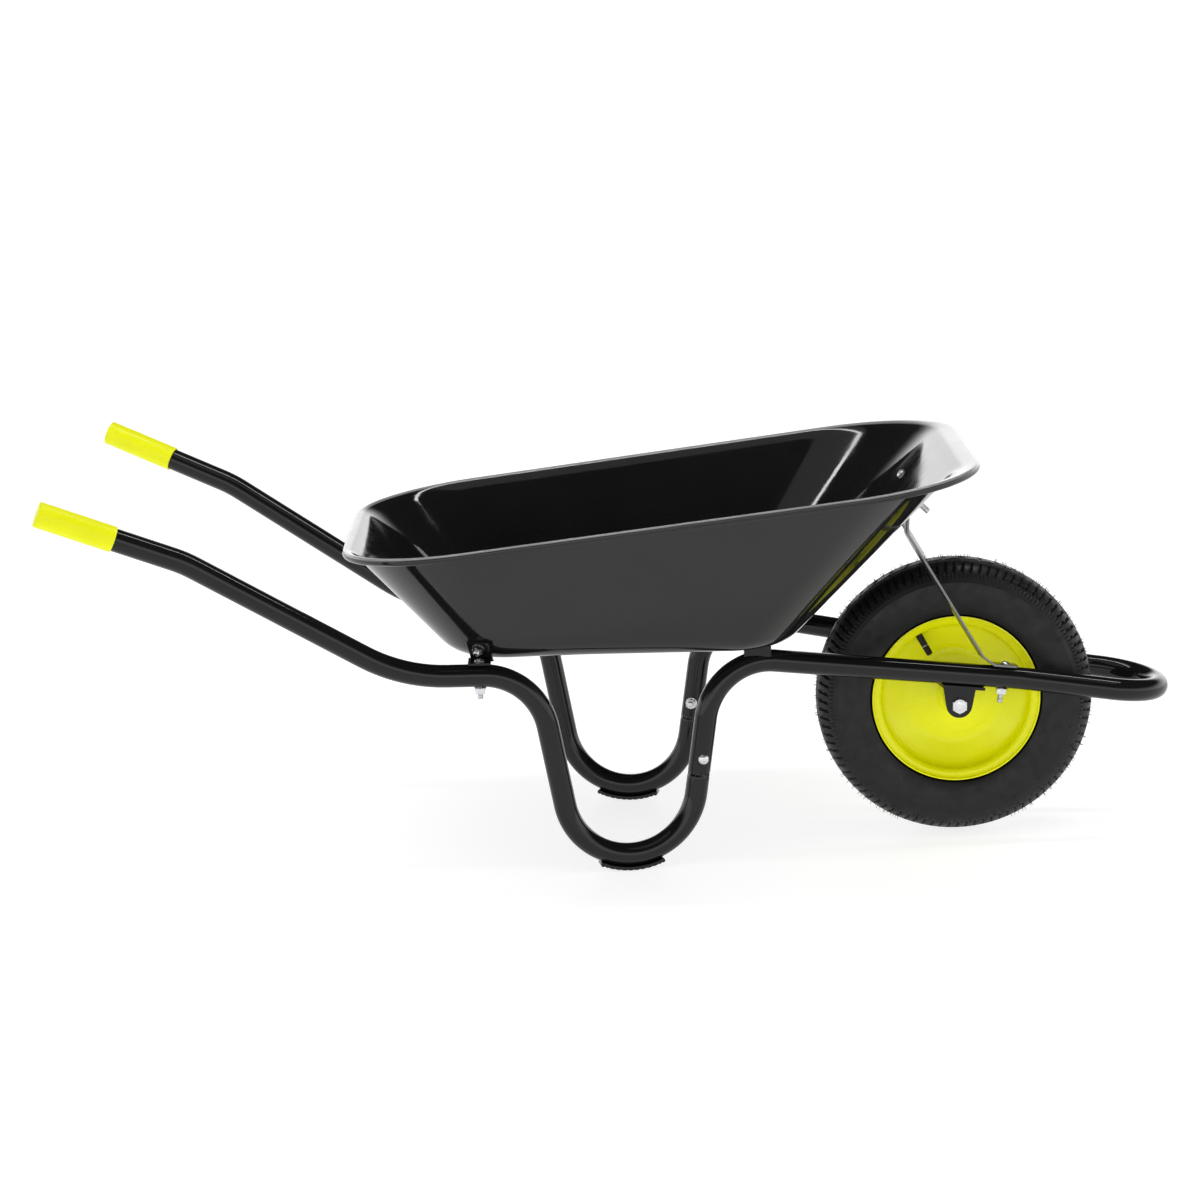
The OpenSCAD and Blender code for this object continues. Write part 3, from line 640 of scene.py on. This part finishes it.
def wear_plate():
    """A plate bent round the underside of the foot, with cross ribs and a lug at each end."""
    centre_x = HEEL.x + FOOT_BEND * math.tan(turn(REAR_CROWN, HEEL, TOE) / 2) * math.cos(PLAN_ANGLE)
    inner = FOOT_BEND + TUBE_RADIUS + 0.05
    outer = FOOT_BEND + TUBE_RADIUS + 5
    reach, rib_pitch = 22, 4.4
    rings = []
    steps = 176
    for i in range(steps + 1):
        a = -reach + 2 * reach * i / steps
        groove = 0.9 * max(0.0, math.cos(math.radians(a * 360 / rib_pitch))) ** 3
        end = min(1.0, (reach - abs(a)) / 2.5)
        low = outer - groove - 1.4 * (1 - end)
        half = 13 - 1.2 * (1 - end)
        section = filleted([(inner, -half), (low, -half), (low, half), (inner, half)],
                           [0.3, 1.2, 1.2, 0.3], steps=3, closed=True)
        t = math.radians(-90 + a)
        rings.append([(r * math.cos(t), y, r * math.sin(t)) for r, y in section])
    parts = [skinned(rings, caps=True)]
    lug = filleted([(0, -10), (3, -10), (3, 10), (0, 10)], [0, 0.9, 0.9, 0], steps=4)
    for a in (-reach, reach):
        t = math.radians(-90 + a)
        parts.append(moved(turned(lug, 40), place((inner + 3) * math.cos(t), 0,
                                                  (inner + 3) * math.sin(t)) @ spin(90, "X")))
    return moved(joined(parts), side_frame(centre_x) @ place(0, 0, FOOT_HEIGHT + FOOT_BEND))


side_pieces(("grip", grip, grip_plastic, "lime_plastic"),
            ("wear_plate", wear_plate, black, "black_paint"))


# ---------------------------------------------------------------- tray

ARC_STEPS, SIDE_STEPS, END_STEPS = 24, 24, 14


def outline(front, rear, half_front, half_rear, radius, height, slope=0.0):
    """A rounded outline, wider at one end, at a height that rises along X with the slope."""
    corners = [(front, half_front, 0), (rear, half_rear, 90),
               (rear, -half_rear, 180), (front, -half_front, 270)]
    arcs = []
    for x, y, start in corners:
        cx, cy = x - math.copysign(radius, x), y - math.copysign(radius, y)
        angles = [math.radians(start + 90 * i / ARC_STEPS) for i in range(ARC_STEPS + 1)]
        arcs.append([Vector((cx + radius * math.cos(a), cy + radius * math.sin(a), 0))
                     for a in angles])
    flat = []
    for k, steps in enumerate((SIDE_STEPS, END_STEPS, SIDE_STEPS, END_STEPS)):
        last, following = arcs[k][-1], arcs[(k + 1) % 4][0]
        flat += arcs[k] + [last.lerp(following, i / steps) for i in range(1, steps)]
    return [Vector((p.x, p.y, height + slope * p.x)) for p in flat]


def curve_through(a, b, c, t):
    return (1 - t) ** 2 * a + 2 * t * (1 - t) * b + t * t * c


def tray():
    """A pressed sheet: floor, blend, wall, flared rim and rolled edge, all round."""
    floor = outline(FLOOR_FRONT, -226, 196, 212, 70, FLOOR_HEIGHT)
    wall = outline(WALL_FRONT, -358, 303, 291, 150, RIM_HEIGHT, RIM_SLOPE)
    rim = outline(466, -367, 308, 296, 165, RIM_HEIGHT, RIM_SLOPE)
    blend, lip, bead = 26, 18, 4
    under = []
    for b, w, l in zip(floor, wall, rim):
        away = Vector((w.x - b.x, w.y - b.y, 0)).normalized()
        up, out = (w - b).normalized(), (l - w).normalized()
        start, rise, near_top = b - away * blend, b + up * blend, w - up * lip
        curl = Vector((out.x, out.y, 0)).normalized()
        line = [curve_through(start, b, rise, i / 12) for i in range(13)]
        line += [rise.lerp(near_top, i / 10) for i in range(1, 10)]
        line += [curve_through(near_top, w, l, i / 12) for i in range(13)]
        for i in range(1, 19):
            a = math.radians(90 - 12.5 * i)
            line.append(l + bead * (curl * math.cos(a) + Vector((0, 0, math.sin(a) - 1))))
        under.append(line)
    count, deep = len(under), len(under[0])
    upper = []
    for i in range(count):
        line = []
        for j in range(deep):
            along = under[(i + 1) % count][j] - under[i - 1][j]
            rise = under[i][min(j + 1, deep - 1)] - under[i][max(j - 1, 0)]
            normal = rise.cross(along).normalized() if j else Vector((0, 0, 1))
            line.append(under[i][j] + normal * SHEET)
        upper.append(line)
    bm = bmesh.new()
    rows = [[bm.verts.new(p) for p in under[i] + upper[i][::-1]] for i in range(count)]
    for i in range(count):
        here, there = rows[i], rows[(i + 1) % count]
        for k in range(len(here) - 1):
            bm.faces.new((here[k], here[k + 1], there[k + 1], there[k]))
    # The floor's two faces close the sheet
    bm.faces.new([row[0] for row in rows])
    bm.faces.new([row[-1] for row in rows][::-1])
    bmesh.ops.recalc_face_normals(bm, faces=bm.faces[:])
    return outward(bm)


piece("tray_shown", tray(), black_tray, "frame", ["tray"], smooth=50)


# ---------------------------------------------------------------- fasteners

THREADS = thread_recipe()
WALL_LEAN = math.degrees(math.atan2(RIM_HEIGHT + RIM_SLOPE * WALL_FRONT - FLOOR_HEIGHT,
                                    WALL_FRONT - FLOOR_FRONT))
REAR_WALL_LEAN, REAR_WALL_TURN = 57.9, 18.3
REAR_TRAY_Y, REAR_TRAY_Z = 218.35, 314
LEG_BOLT_Z = 146
REAR_BOLT_X, BRACE_BOLT_X, FRONT_TRAY_X, BRACE_TRAY_X = -190, 511, 176, 390
REAR_RUN = KNEE.z + (REAR_CROWN.z - KNEE.z) * (REAR_BOLT_X - KNEE.x) / (REAR_CROWN.x - KNEE.x)
BRACE_TRAY = on_side(BRACE_TRAY_X, FLOOR_HEIGHT
                     + (BRACE_TRAY_X - FLOOR_FRONT) * math.tan(math.radians(WALL_LEAN)))
AT_LEG = side_frame(toe_at(LEG_BOLT_Z).x) @ place(0, 0, LEG_BOLT_Z) @ spin(-90, "X")
AT_REAR_TUBE = place(REAR_BOLT_X, half_gap(REAR_BOLT_X))
AT_REAR_TRAY = (place(REAR_BOLT_X, REAR_TRAY_Y, REAR_TRAY_Z) @ spin(REAR_WALL_TURN, "Z")
                @ spin(REAR_WALL_LEAN - 180, "X"))
AT_FRONT_TRAY = place(FRONT_TRAY_X, half_gap(FRONT_TRAY_X) - 32, FLOOR_HEIGHT) @ spin(180, "X")
AT_BRACE_TRAY = place(*BRACE_TRAY) @ spin(180 - WALL_LEAN, "Y")
AT_BRACE_TUBE = (place(BRACE_BOLT_X, half_gap(BRACE_BOLT_X), hoop_height(BRACE_BOLT_X))
                 @ spin(math.degrees(math.atan(HOOP_SLOPE)), "Y"))


CORE_RADIUS = 3.6
BOLT_RADIUS = 4
BOLT_PITCH = 1.25
CREST = 0.42
WASHER = 1.6
FLIP = spin(180, "X")


def thread(radius, pitch, length, start):
    """A helical ridge going down from the height start."""
    bm = grown(THREADS, Radius=radius * MM, Pitch=pitch * MM, Length=length * MM,
               Crest=CREST * MM, Finish=zinc)
    return moved(bm, place(0, 0, start - length))


def bolt_thread(length, start):
    return thread(BOLT_RADIUS - CREST, BOLT_PITCH, length, start)


def carriage_bolt(length, threaded):
    """A low domed head, dished in the middle, and a shank with a threaded end."""
    head_radius, top, drop, edge_angle = 7, 4, 3.2, math.radians(60)
    dome = [(0, 3.1), (1.9, 3.2), (2.5, 3.62)]
    for k in range(4, 9):
        a = edge_angle * k / 8
        dome.append((head_radius * math.sin(a) / math.sin(edge_angle),
                     top - drop * (1 - math.cos(a)) / (1 - math.cos(edge_angle))))
    head = turned(dome + [(head_radius, 0.4), (head_radius - 0.3, 0), (0, 0)], 48)
    shank = filleted([(0, -length), (CORE_RADIUS, -length), (CORE_RADIUS, 0.5), (0, 0.5)],
                     [0, 0.8, 0, 0], steps=3)
    return joined([head, turned(shank, 32), bolt_thread(threaded, -length + threaded + 0.6)])


def sunk_bolt(length, threaded):
    """A head level with the sheet, with a round socket, and a shank along +Z."""
    head = turned([(0, 1.6), (2.2, 1.6), (2.6, -0.06), (7, -0.06), (7.2, 0.05),
                   (BOLT_RADIUS, 3.25), (BOLT_RADIUS, length - 0.8), (3.4, length),
                   (0, length)], 48)
    return joined([head, bolt_thread(threaded, length - 0.6)])


def hexagon(across, low, high, bore):
    """A hexagon with its corners turned off at both faces."""
    angles = [2 * math.pi * k / 72 for k in range(72)]
    chamfer = 0.12 * (high - low)
    rings = []
    for z, corner in ((low, 0.5), (low + chamfer, 0.585), (high - chamfer, 0.585), (high, 0.5)):
        ring = []
        for a in angles:
            flat = across / 2 / math.cos((a + math.pi / 6) % (math.pi / 3) - math.pi / 6)
            r = min(flat, across * corner)
            ring.append((r * math.cos(a), r * math.sin(a), z))
        rings.append(ring)
    if bore == 0:
        return skinned(rings, caps=True)
    rings += [[(bore * math.cos(a), bore * math.sin(a), z) for a in angles] for z in (high, low)]
    return skinned(rings, loop=True)


def nut_and_washer():
    washer = filleted([(4.2, 0), (8, 0), (8, -WASHER), (4.2, -WASHER)], 0.35, steps=3,
                      closed=True)
    return joined([turned(washer, 64), hexagon(13, -WASHER - 6.5, -WASHER, 4.06)])


def fitted(node, part, where, finish=zinc):
    """One part on each side of the barrow, as one piece."""
    both = joined([copied(part, m) for m in pair(where)])
    part.free()
    piece(node + "_shown", both, finish, "frame", [node], smooth=32)


def raised(height):
    return place(0, 0, height)


fitted("leg_bolts", carriage_bolt(42, 12), AT_LEG @ raised(15))
fitted("leg_nuts", nut_and_washer(), AT_LEG @ raised(-15.1))
fitted("rear_tube_bolts", carriage_bolt(50, 18), AT_REAR_TUBE @ raised(REAR_RUN + 19))
fitted("rear_tube_nuts", nut_and_washer(), AT_REAR_TUBE @ raised(REAR_RUN - 15.8))
fitted("rear_tray_bolts", carriage_bolt(18, 14), AT_REAR_TRAY @ FLIP @ raised(2))
fitted("rear_tray_nuts", nut_and_washer(), AT_REAR_TRAY @ raised(3.7) @ FLIP, darker_zinc)
fitted("front_tray_bolts", sunk_bolt(18, 12), AT_FRONT_TRAY @ raised(-SHEET))
fitted("front_tray_nuts", nut_and_washer(), AT_FRONT_TRAY @ raised(3.3) @ FLIP)
fitted("brace_tray_bolts", carriage_bolt(26, 20), AT_BRACE_TRAY @ FLIP @ raised(1.3))
fitted("brace_tray_nuts", nut_and_washer(), AT_BRACE_TRAY @ raised(3.6) @ FLIP)
fitted("brace_tube_bolts", carriage_bolt(54, 18), AT_BRACE_TUBE @ raised(18.5))
fitted("brace_tube_nuts", nut_and_washer(), AT_BRACE_TUBE @ raised(-15.2))


# ---------------------------------------------------------------- brace straps

def strap():
    """A flat bar: flat on the tray wall, down to the tube, and flat along the tube's top."""
    half_width, half_thickness, end_round = 10, 1.5, 7
    wall_up = Vector((math.cos(math.radians(WALL_LEAN)), 0, math.sin(math.radians(WALL_LEAN))))
    wall_out = Vector((wall_up.z, 0, -wall_up.x))
    seat = TUBE_RADIUS / math.cos(math.atan(HOOP_SLOPE)) + 1.6
    tab = BRACE_TRAY + wall_out * 1.9
    corners = [tab + wall_up * 16, tab - wall_up * 15, on_side(378, 432), on_side(481, 258),
               on_side(496, hoop_height(496) + seat), on_side(530, hoop_height(530) + seat)]
    path = filleted(corners, [0, 14, 12, 14, 8, 0], steps=8)
    fine = [path[0]]
    for a, b in zip(path, path[1:]):
        parts = max(1, int((b - a).length / 2.5))
        fine += [a.lerp(b, k / parts) for k in range(1, parts + 1)]
    length = [0.0]
    for a, b in zip(fine, fine[1:]):
        length.append(length[-1] + (b - a).length)
    across_tab = Vector((0, 1, 0))
    across_bar = Vector((math.sin(PLAN_ANGLE), math.cos(PLAN_ANGLE), 0))
    rings = []
    for i, p in enumerate(fine):
        ahead = (fine[min(i + 1, len(fine) - 1)] - fine[max(i - 1, 0)]).normalized()
        share = min(1.0, max(0.0, (length[i] - 34) / 50))
        across = across_tab.lerp(across_bar, share).normalized()
        across = (across - ahead * across.dot(ahead)).normalized()
        thick = ahead.cross(across)
        end = min(length[i], length[-1] - length[i])
        half = half_width
        if end < end_round:
            half *= 0.5 + 0.5 * math.sqrt(1 - ((end_round - end) / end_round) ** 2)
        t = half_thickness
        section = filleted([(-half, -t), (half, -t), (half, t), (-half, t)], 0.5,
                           steps=2, closed=True)
        rings.append([p + across * s.x + thick * s.y for s in section])
    return skinned(rings, caps=True)


side_pieces(("brace_strap", strap, darker_zinc, "zinc_plate"))


# ---------------------------------------------------------------- wheel

def wheel_piece(name, bm, finish, nodes, smooth=35):
    piece(name, moved(bm, WHEEL_PLACE), finish, "wheel", nodes, smooth)


# The half rim's outer face as (radius, distance from the middle), and each corner's rounding
RIM_FACE = [(18.05, 22), (21, 22), (25, 18), (40, 11.5), (54, 8), (58, 6.4), (62, 5.2), (66, 5),
            (70, 5.6), (90, 13), (96, 15.6), (99.5, 19), (101, 24), (101.2, 30), (102.5, 33),
            (105, 35), (109, 36), (111.3, 37), (112.4, 38.6), (112.7, 40.4)]
RIM_ROUND = [0, 1.5, 6, 20, 14, 12, 9, 9, 14, 14, 9, 6, 8, 6, 4, 4, 5, 2.4, 1.4, 0]


def half_rim(side):
    """A pressed half rim: its face, and its back one sheet further in."""
    face = [p.to_2d() for p in filleted([(r, h, 0) for r, h in RIM_FACE], RIM_ROUND, steps=4)]
    back = []
    for i, p in enumerate(face):
        d = face[min(i + 1, len(face) - 1)] - face[max(i - 1, 0)]
        back.append(p + Vector((d.y, -d.x)).normalized() * RIM_SHEET)
    bm = turned([(p.x, p.y) for p in face + back[::-1]], 192)
    return bm if side > 0 else moved(bm, Matrix.Diagonal((1, 1, -1, 1)))


TYRE_MIDDLE = TYRE_RADIUS - TYRE_DEPTH
SQUARENESS = 0.8
# From inside the rim's seat round the bead to the side wall, as (radius, half width)
BEAD = [(103.9, 26), (103.9, 31.2), (115.0, 31.4), (116.4, 32.6), (117, 38), (117.6, 40.2)]


def tyre_section(a, inset=0.0):
    """A point on the tyre's rounded section, by the angle from the middle of the tread."""
    c, s = math.cos(math.radians(a)), math.sin(math.radians(a))
    r = TYRE_MIDDLE + (TYRE_DEPTH - inset) * math.copysign(abs(c) ** SQUARENESS, c)
    return r, (TYRE_WIDTH / 2 - inset) * math.copysign(abs(s) ** SQUARENESS, s)


def outward_at(r, w):
    """The direction (radial, sideways) out of the tyre at a point of its section."""
    return Vector((r - TYRE_MIDDLE, w)).normalized()


def step_up(value, low, high):
    t = min(1.0, max(0.0, (value - low) / (high - low)))
    return t * t * (3 - 2 * t)


GROOVES = 96


def tread_cut(a, turn_share):
    """How deep the tread is cut, at an angle a across it and a place round the wheel."""
    side = abs(a)
    # Slanted slots on the shoulders
    phase = (turn_share * GROOVES + (0.5 if a < 0 else 0.0)) % 1.0
    slant = (phase + side * 0.006) % 1.0
    slot = 1 - step_up(abs(slant - 0.5), 0.07, 0.16)
    shoulder = step_up(side, 19, 23) * (1 - step_up(side, 44, 58))
    depth = 3.2 * slot * shoulder
    # Fine sipes at the edge of the tread
    fine = (turn_share * GROOVES * 2) % 1.0
    sipe = 1 - step_up(abs(fine - 0.5), 0.1, 0.2)
    depth = max(depth, 0.9 * sipe * step_up(side, 50, 55) * (1 - step_up(side, 60, 66)))
    # Two grooves all the way round, and short cuts between them
    ring = 1 - step_up(abs(side - 9), 1.2, 2.4)
    depth = max(depth, 2.4 * ring)
    middle = (turn_share * GROOVES / 2 + side * 0.02) % 1.0
    cross = 1 - step_up(abs(middle - 0.5), 0.05, 0.1)
    return max(depth, 1.6 * cross * (1 - step_up(side, 6, 9)))


def tyre():
    """The tyre with its tread cut in, a raised line on each side wall, and an air space."""
    steps = GROOVES * 8
    wall_angles = list(range(84, 125, 8))
    angles = [-a for a in reversed(wall_angles)] + [i * 1.3 for i in range(-60, 61)] + wall_angles
    kept = [a for a in angles if tyre_section(a)[0] > BEAD[-1][0] + 0.9]
    inner = [tyre_section(a, 7) for a in range(-126, 127, 12)]
    hollow = [p for p in reversed(inner) if p[0] > 112]
    rings = []
    for i in range(steps):
        t = 2 * math.pi * i / steps
        line = [(r, -w) for r, w in BEAD]
        for a in kept:
            r, w = tyre_section(a)
            away = outward_at(r, w)
            cut = tread_cut(a, i / steps)
            if 159 < r < 164.5 and abs(a) > 60:
                cut -= 0.5 * (1 - abs(r - 161.8) / 2.7)
            if abs(r - 126) < 1.6 and abs(a) > 90:
                cut += 0.6
            line.append((r - away.x * cut, w - away.y * cut))
        line += BEAD[::-1] + hollow
        rings.append([(r * math.cos(t), r * math.sin(t), w) for r, w in line])
    return skinned(rings, loop=True)


HAIRS = hair_recipe()
# Each row of hairs: angle across the tread, places round the ring, share that has a hair
HAIR_ROWS = [(27, 96, 0.6), (-27, 96, 0.6), (14, 110, 0.5), (-14, 110, 0.5), (4, 90, 0.5),
             (-4, 90, 0.4), (56, 30, 0.5), (-56, 30, 0.5), (75, 24, 0.4), (-75, 24, 0.4)]


def moulding_hairs():
    rows = []
    for seed, (a, count, share) in enumerate(HAIR_ROWS, start=3):
        r, w = tyre_section(a)
        away = outward_at(r, w)
        rows.append(grown(HAIRS, Ring_Radius=r * MM, Across=w * MM,
                          Lean=away.y / max(0.2, away.x), Count=count, Hair_Length=4.4 * MM,
                          Hair_Thickness=0.5 * MM, Kept_Share=share, Seed=seed, Finish=tread))
    return joined(rows)


# The valve runs from its root in the rim well towards the hub, in the wheel's own frame
VALVE_ROOT, VALVE_TIP = Vector((111.5, 0, -16.2)), Vector((68.6, 0, -28.2))
VALVE_LENGTH = (VALVE_TIP - VALVE_ROOT).length
COLLAR = VALVE_LENGTH * 0.686
AT_VALVE = spin(-120, "Z") @ frame_along(VALVE_ROOT, (VALVE_TIP - VALVE_ROOT).normalized())


def valve_stem():
    body = filleted([(0, 0), (5.5, 0), (5.5, 4), (4.9, 7), (4.6, COLLAR - 1.5), (4.4, COLLAR),
                     (0, COLLAR)], [0, 0.5, 2, 2, 0.6, 0.3, 0], steps=4)
    return moved(turned(body, 48), AT_VALVE)


def valve_cap():
    """A cap with fine flutes round its middle."""
    rings = []
    for z, r in ((COLLAR + 0.5, 3.9), (COLLAR + 0.9, 4.4), (COLLAR + 1.6, 4.55),
                 (VALVE_LENGTH - 3, 4.4), (VALVE_LENGTH - 1.2, 4.2), (VALVE_LENGTH - 0.2, 3.3),
                 (VALVE_LENGTH, 2.2)):
        flute = 0.18 if COLLAR + 1.5 < z < VALVE_LENGTH - 2 else 0.0
        ring = []
        for k in range(48):
            a, reach = math.pi * k / 24, r - flute * (k % 2)
            ring.append((reach * math.cos(a), reach * math.sin(a), z))
        rings.append(ring)
    return moved(skinned(rings, caps=True), AT_VALVE)


def valve_ring():
    low, high = COLLAR - 0.1, COLLAR + 0.6
    band = filleted([(3.2, low), (4.5, low), (4.5, high), (3.2, high)], 0.12, steps=2,
                    closed=True)
    return moved(turned(band, 48), AT_VALVE)


wheel_piece("tyre_shown", tyre(), tread, ["tyre"], smooth=40)
wheel_piece("tyre_moulding_hairs", moulding_hairs(), tread, [])
wheel_piece("rim_left_shown", half_rim(1), lime, ["rim_left"])
wheel_piece("rim_right_shown", half_rim(-1), lime, ["rim_right"])
wheel_piece("valve_stem_shown", valve_stem(), soft_black, ["valve_stem"])
wheel_piece("valve_cap_shown", valve_cap(), soft_black, ["valve_cap"])
wheel_piece("valve_ring", valve_ring(), zinc, [])


# ---------------------------------------------------------------- axle

def axle_bolt():
    head = moved(hexagon(19, -7.5, 0, 0), place(0, 0, -80.1))
    face = turned(filleted([(0, -87.9), (7.2, -87.9), (7.2, -87.4), (0, -87.4)],
                           [0, 0.2, 0, 0], steps=2), 48)
    shank = filleted([(0, -81), (6, -81), (6, 97.5), (0, 97.5)], [0, 0, 1.2, 0], steps=3)
    return joined([head, face, turned(shank, 48), thread(5.9, 1.75, 16, 97)])


def axle_nut():
    return hexagon(19, 82.7, 92.7, 6.1)


def axle_washer():
    return turned(filleted([(6.4, 80.1), (12, 80.1), (12, 82.6), (6.4, 82.6)], 0.4, steps=3,
                           closed=True), 64)


for name, bm in (("axle_bolt", axle_bolt()), ("axle_nut", axle_nut()),
                 ("axle_washer", axle_washer())):
    piece(name + "_shown", moved(bm, WHEEL_PLACE), zinc, "frame", [name], smooth=32)


def axle_bracket():
    """A rounded tab with the axle through it, under a plate welded to the hoop tube."""
    slope = math.atan(HOOP_SLOPE)
    under = hoop_height(AXLE.x) - TUBE_RADIUS / math.cos(slope) - 0.1
    end_radius, half_top, outer_face, thickness = 17.6, 23, 80, 4
    top, tilt = under - AXLE.z - 2, half_top * HOOP_SLOPE
    round_end = [(end_radius * math.cos(math.radians(a)), end_radius * math.sin(math.radians(a)), 0)
                 for a in range(190, 351, 8)]
    tab = filleted([(-half_top, top + tilt, 0)] + round_end + [(half_top, top - tilt, 0)],
                   [0, 3] + [0] * (len(round_end) - 2) + [3, 0], steps=3)
    eased = ((0, 0.985), (0.4, 1), (thickness - 0.4, 1), (thickness, 0.985))
    tab = skinned([[(p.x * k, p.y * k, z) for p in tab] for z, k in eased], caps=True)
    moved(tab, place(AXLE.x, outer_face, AXLE.z) @ spin(90, "X"))
    plate = skinned([[(x, y, z) for x, y in ((-27, -21), (33, -21), (33, 9), (-27, 9))]
                     for z in (-thickness, 0)], caps=True)
    moved(plate, side_frame(AXLE.x) @ place(0, 0, under) @ Matrix.Rotation(slope, 4, "Y"))
    return joined([tab, plate])


side_pieces(("axle_bracket", axle_bracket, black_edged, "black_paint"))

# The nodes that keep their own shape take the finishes
KEPT = {
    black_edged: ["rear_bracket_left", "rear_bracket_right", "front_saddle_left",
                  "front_saddle_right"],
    zinc: ["axle_spacers"],
    bearing: ["bearing_inner_races", "bearing_balls", "bearing_outer_races"],
    lime: ["hub_tube"],
    soft_black: ["inner_tube"],
}
for finish, names in KEPT.items():
    for name in names:
        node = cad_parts[name]
        node.data.materials.clear()
        node.data.materials.append(finish)


# ---------------------------------------------------------------- studio

FLOOR_HALF, FLOOR_GLOW = 60, 0.79
# The room's brightness goes from the first to the second between these heights of view
ROOM_FROM, ROOM_TO, ROOM_BRIGHT, ROOM_DARK = 0.2, 0.46, 1.9, 0.03
CAMERA_PLACE = (-0.0312, -4.6357, 1.2665)
CAMERA_DOWN, CAMERA_ROLL, CAMERA_LENS = 11.444, -1.164, 103.84


def linked(name, data):
    obj = bpy.data.objects.new(name, data)
    bpy.context.scene.collection.objects.link(obj)
    return obj


def studio_floor():
    f = Finish("pale studio floor", Roughness=0.6, Specular_IOR_Level=0.2)
    f.colour(f.mixed(f.noise(1.5, 2), (0.41, 0.41, 0.41, 1), (0.39, 0.39, 0.39, 1)))
    f.shader.inputs["Emission Color"].default_value = (1, 1, 1, 1)
    f.shader.inputs["Emission Strength"].default_value = FLOOR_GLOW
    mesh = bpy.data.meshes.new("floor")
    h = FLOOR_HALF
    mesh.from_pydata([(-h, -h, 0), (h, -h, 0), (h, h, 0), (-h, h, 0)], [], [(0, 1, 2, 3)])
    mesh.materials.append(f.material)
    floor = linked("floor", mesh)


def softbox(name, place_at, aim, width, depth, watts, mirrored=True):
    light = bpy.data.lights.new(name, "AREA")
    light.shape, light.size, light.size_y, light.energy = "RECTANGLE", width, depth, watts
    obj = linked(name, light)
    obj.location = place_at
    obj.rotation_euler = (Vector(aim) - Vector(place_at)).to_track_quat("-Z", "Y").to_euler()
    obj.visible_glossy = mirrored


def studio_room():
    """Bright round the horizon and dark overhead, so gloss paint shows clean dark tones."""
    world = bpy.data.worlds.new("studio room")
    bpy.context.scene.world = world
    world.use_nodes = True
    nodes, links = world.node_tree.nodes, world.node_tree.links
    way = nodes.new("ShaderNodeTexCoord")
    split = nodes.new("ShaderNodeSeparateXYZ")
    fade = nodes.new("ShaderNodeMapRange")
    fade.interpolation_type = "SMOOTHSTEP"
    for socket, value in zip(fade.inputs[1:], (ROOM_FROM, ROOM_TO, ROOM_BRIGHT, ROOM_DARK)):
        socket.default_value = value
    links.new(way.outputs["Generated"], split.inputs[0])
    links.new(split.outputs[2], fade.inputs[0])
    links.new(fade.outputs[0], nodes["Background"].inputs["Strength"])
    nodes["Background"].inputs["Color"].default_value = (1, 1, 1, 1)


def studio_camera():
    data = bpy.data.cameras.new("camera")
    data.lens = CAMERA_LENS
    data.clip_end = 300
    camera = linked("camera", data)
    camera.matrix_world = place(*CAMERA_PLACE) @ spin(90 - CAMERA_DOWN, "X") @ spin(CAMERA_ROLL, "Z")
    bpy.context.scene.camera = camera


def soft_daylight():
    sun = bpy.data.lights.new("soft daylight", "SUN")
    sun.energy, sun.angle = 0.4, math.radians(60)
    linked("soft daylight", sun).rotation_euler = (math.radians(12), math.radians(-8), 0)


studio_floor()
studio_room()
softbox("overhead strip", (0.0, 0.1, 3.0), (0, 0, 0.3), 3.8, 0.2, 40)
softbox("near strip", (0.0, -1.1, 3.1), (0, 0, 0.3), 3.2, 0.12, 13, mirrored=False)
soft_daylight()
studio_camera()
bpy.context.scene.view_settings.view_transform = "Standard"
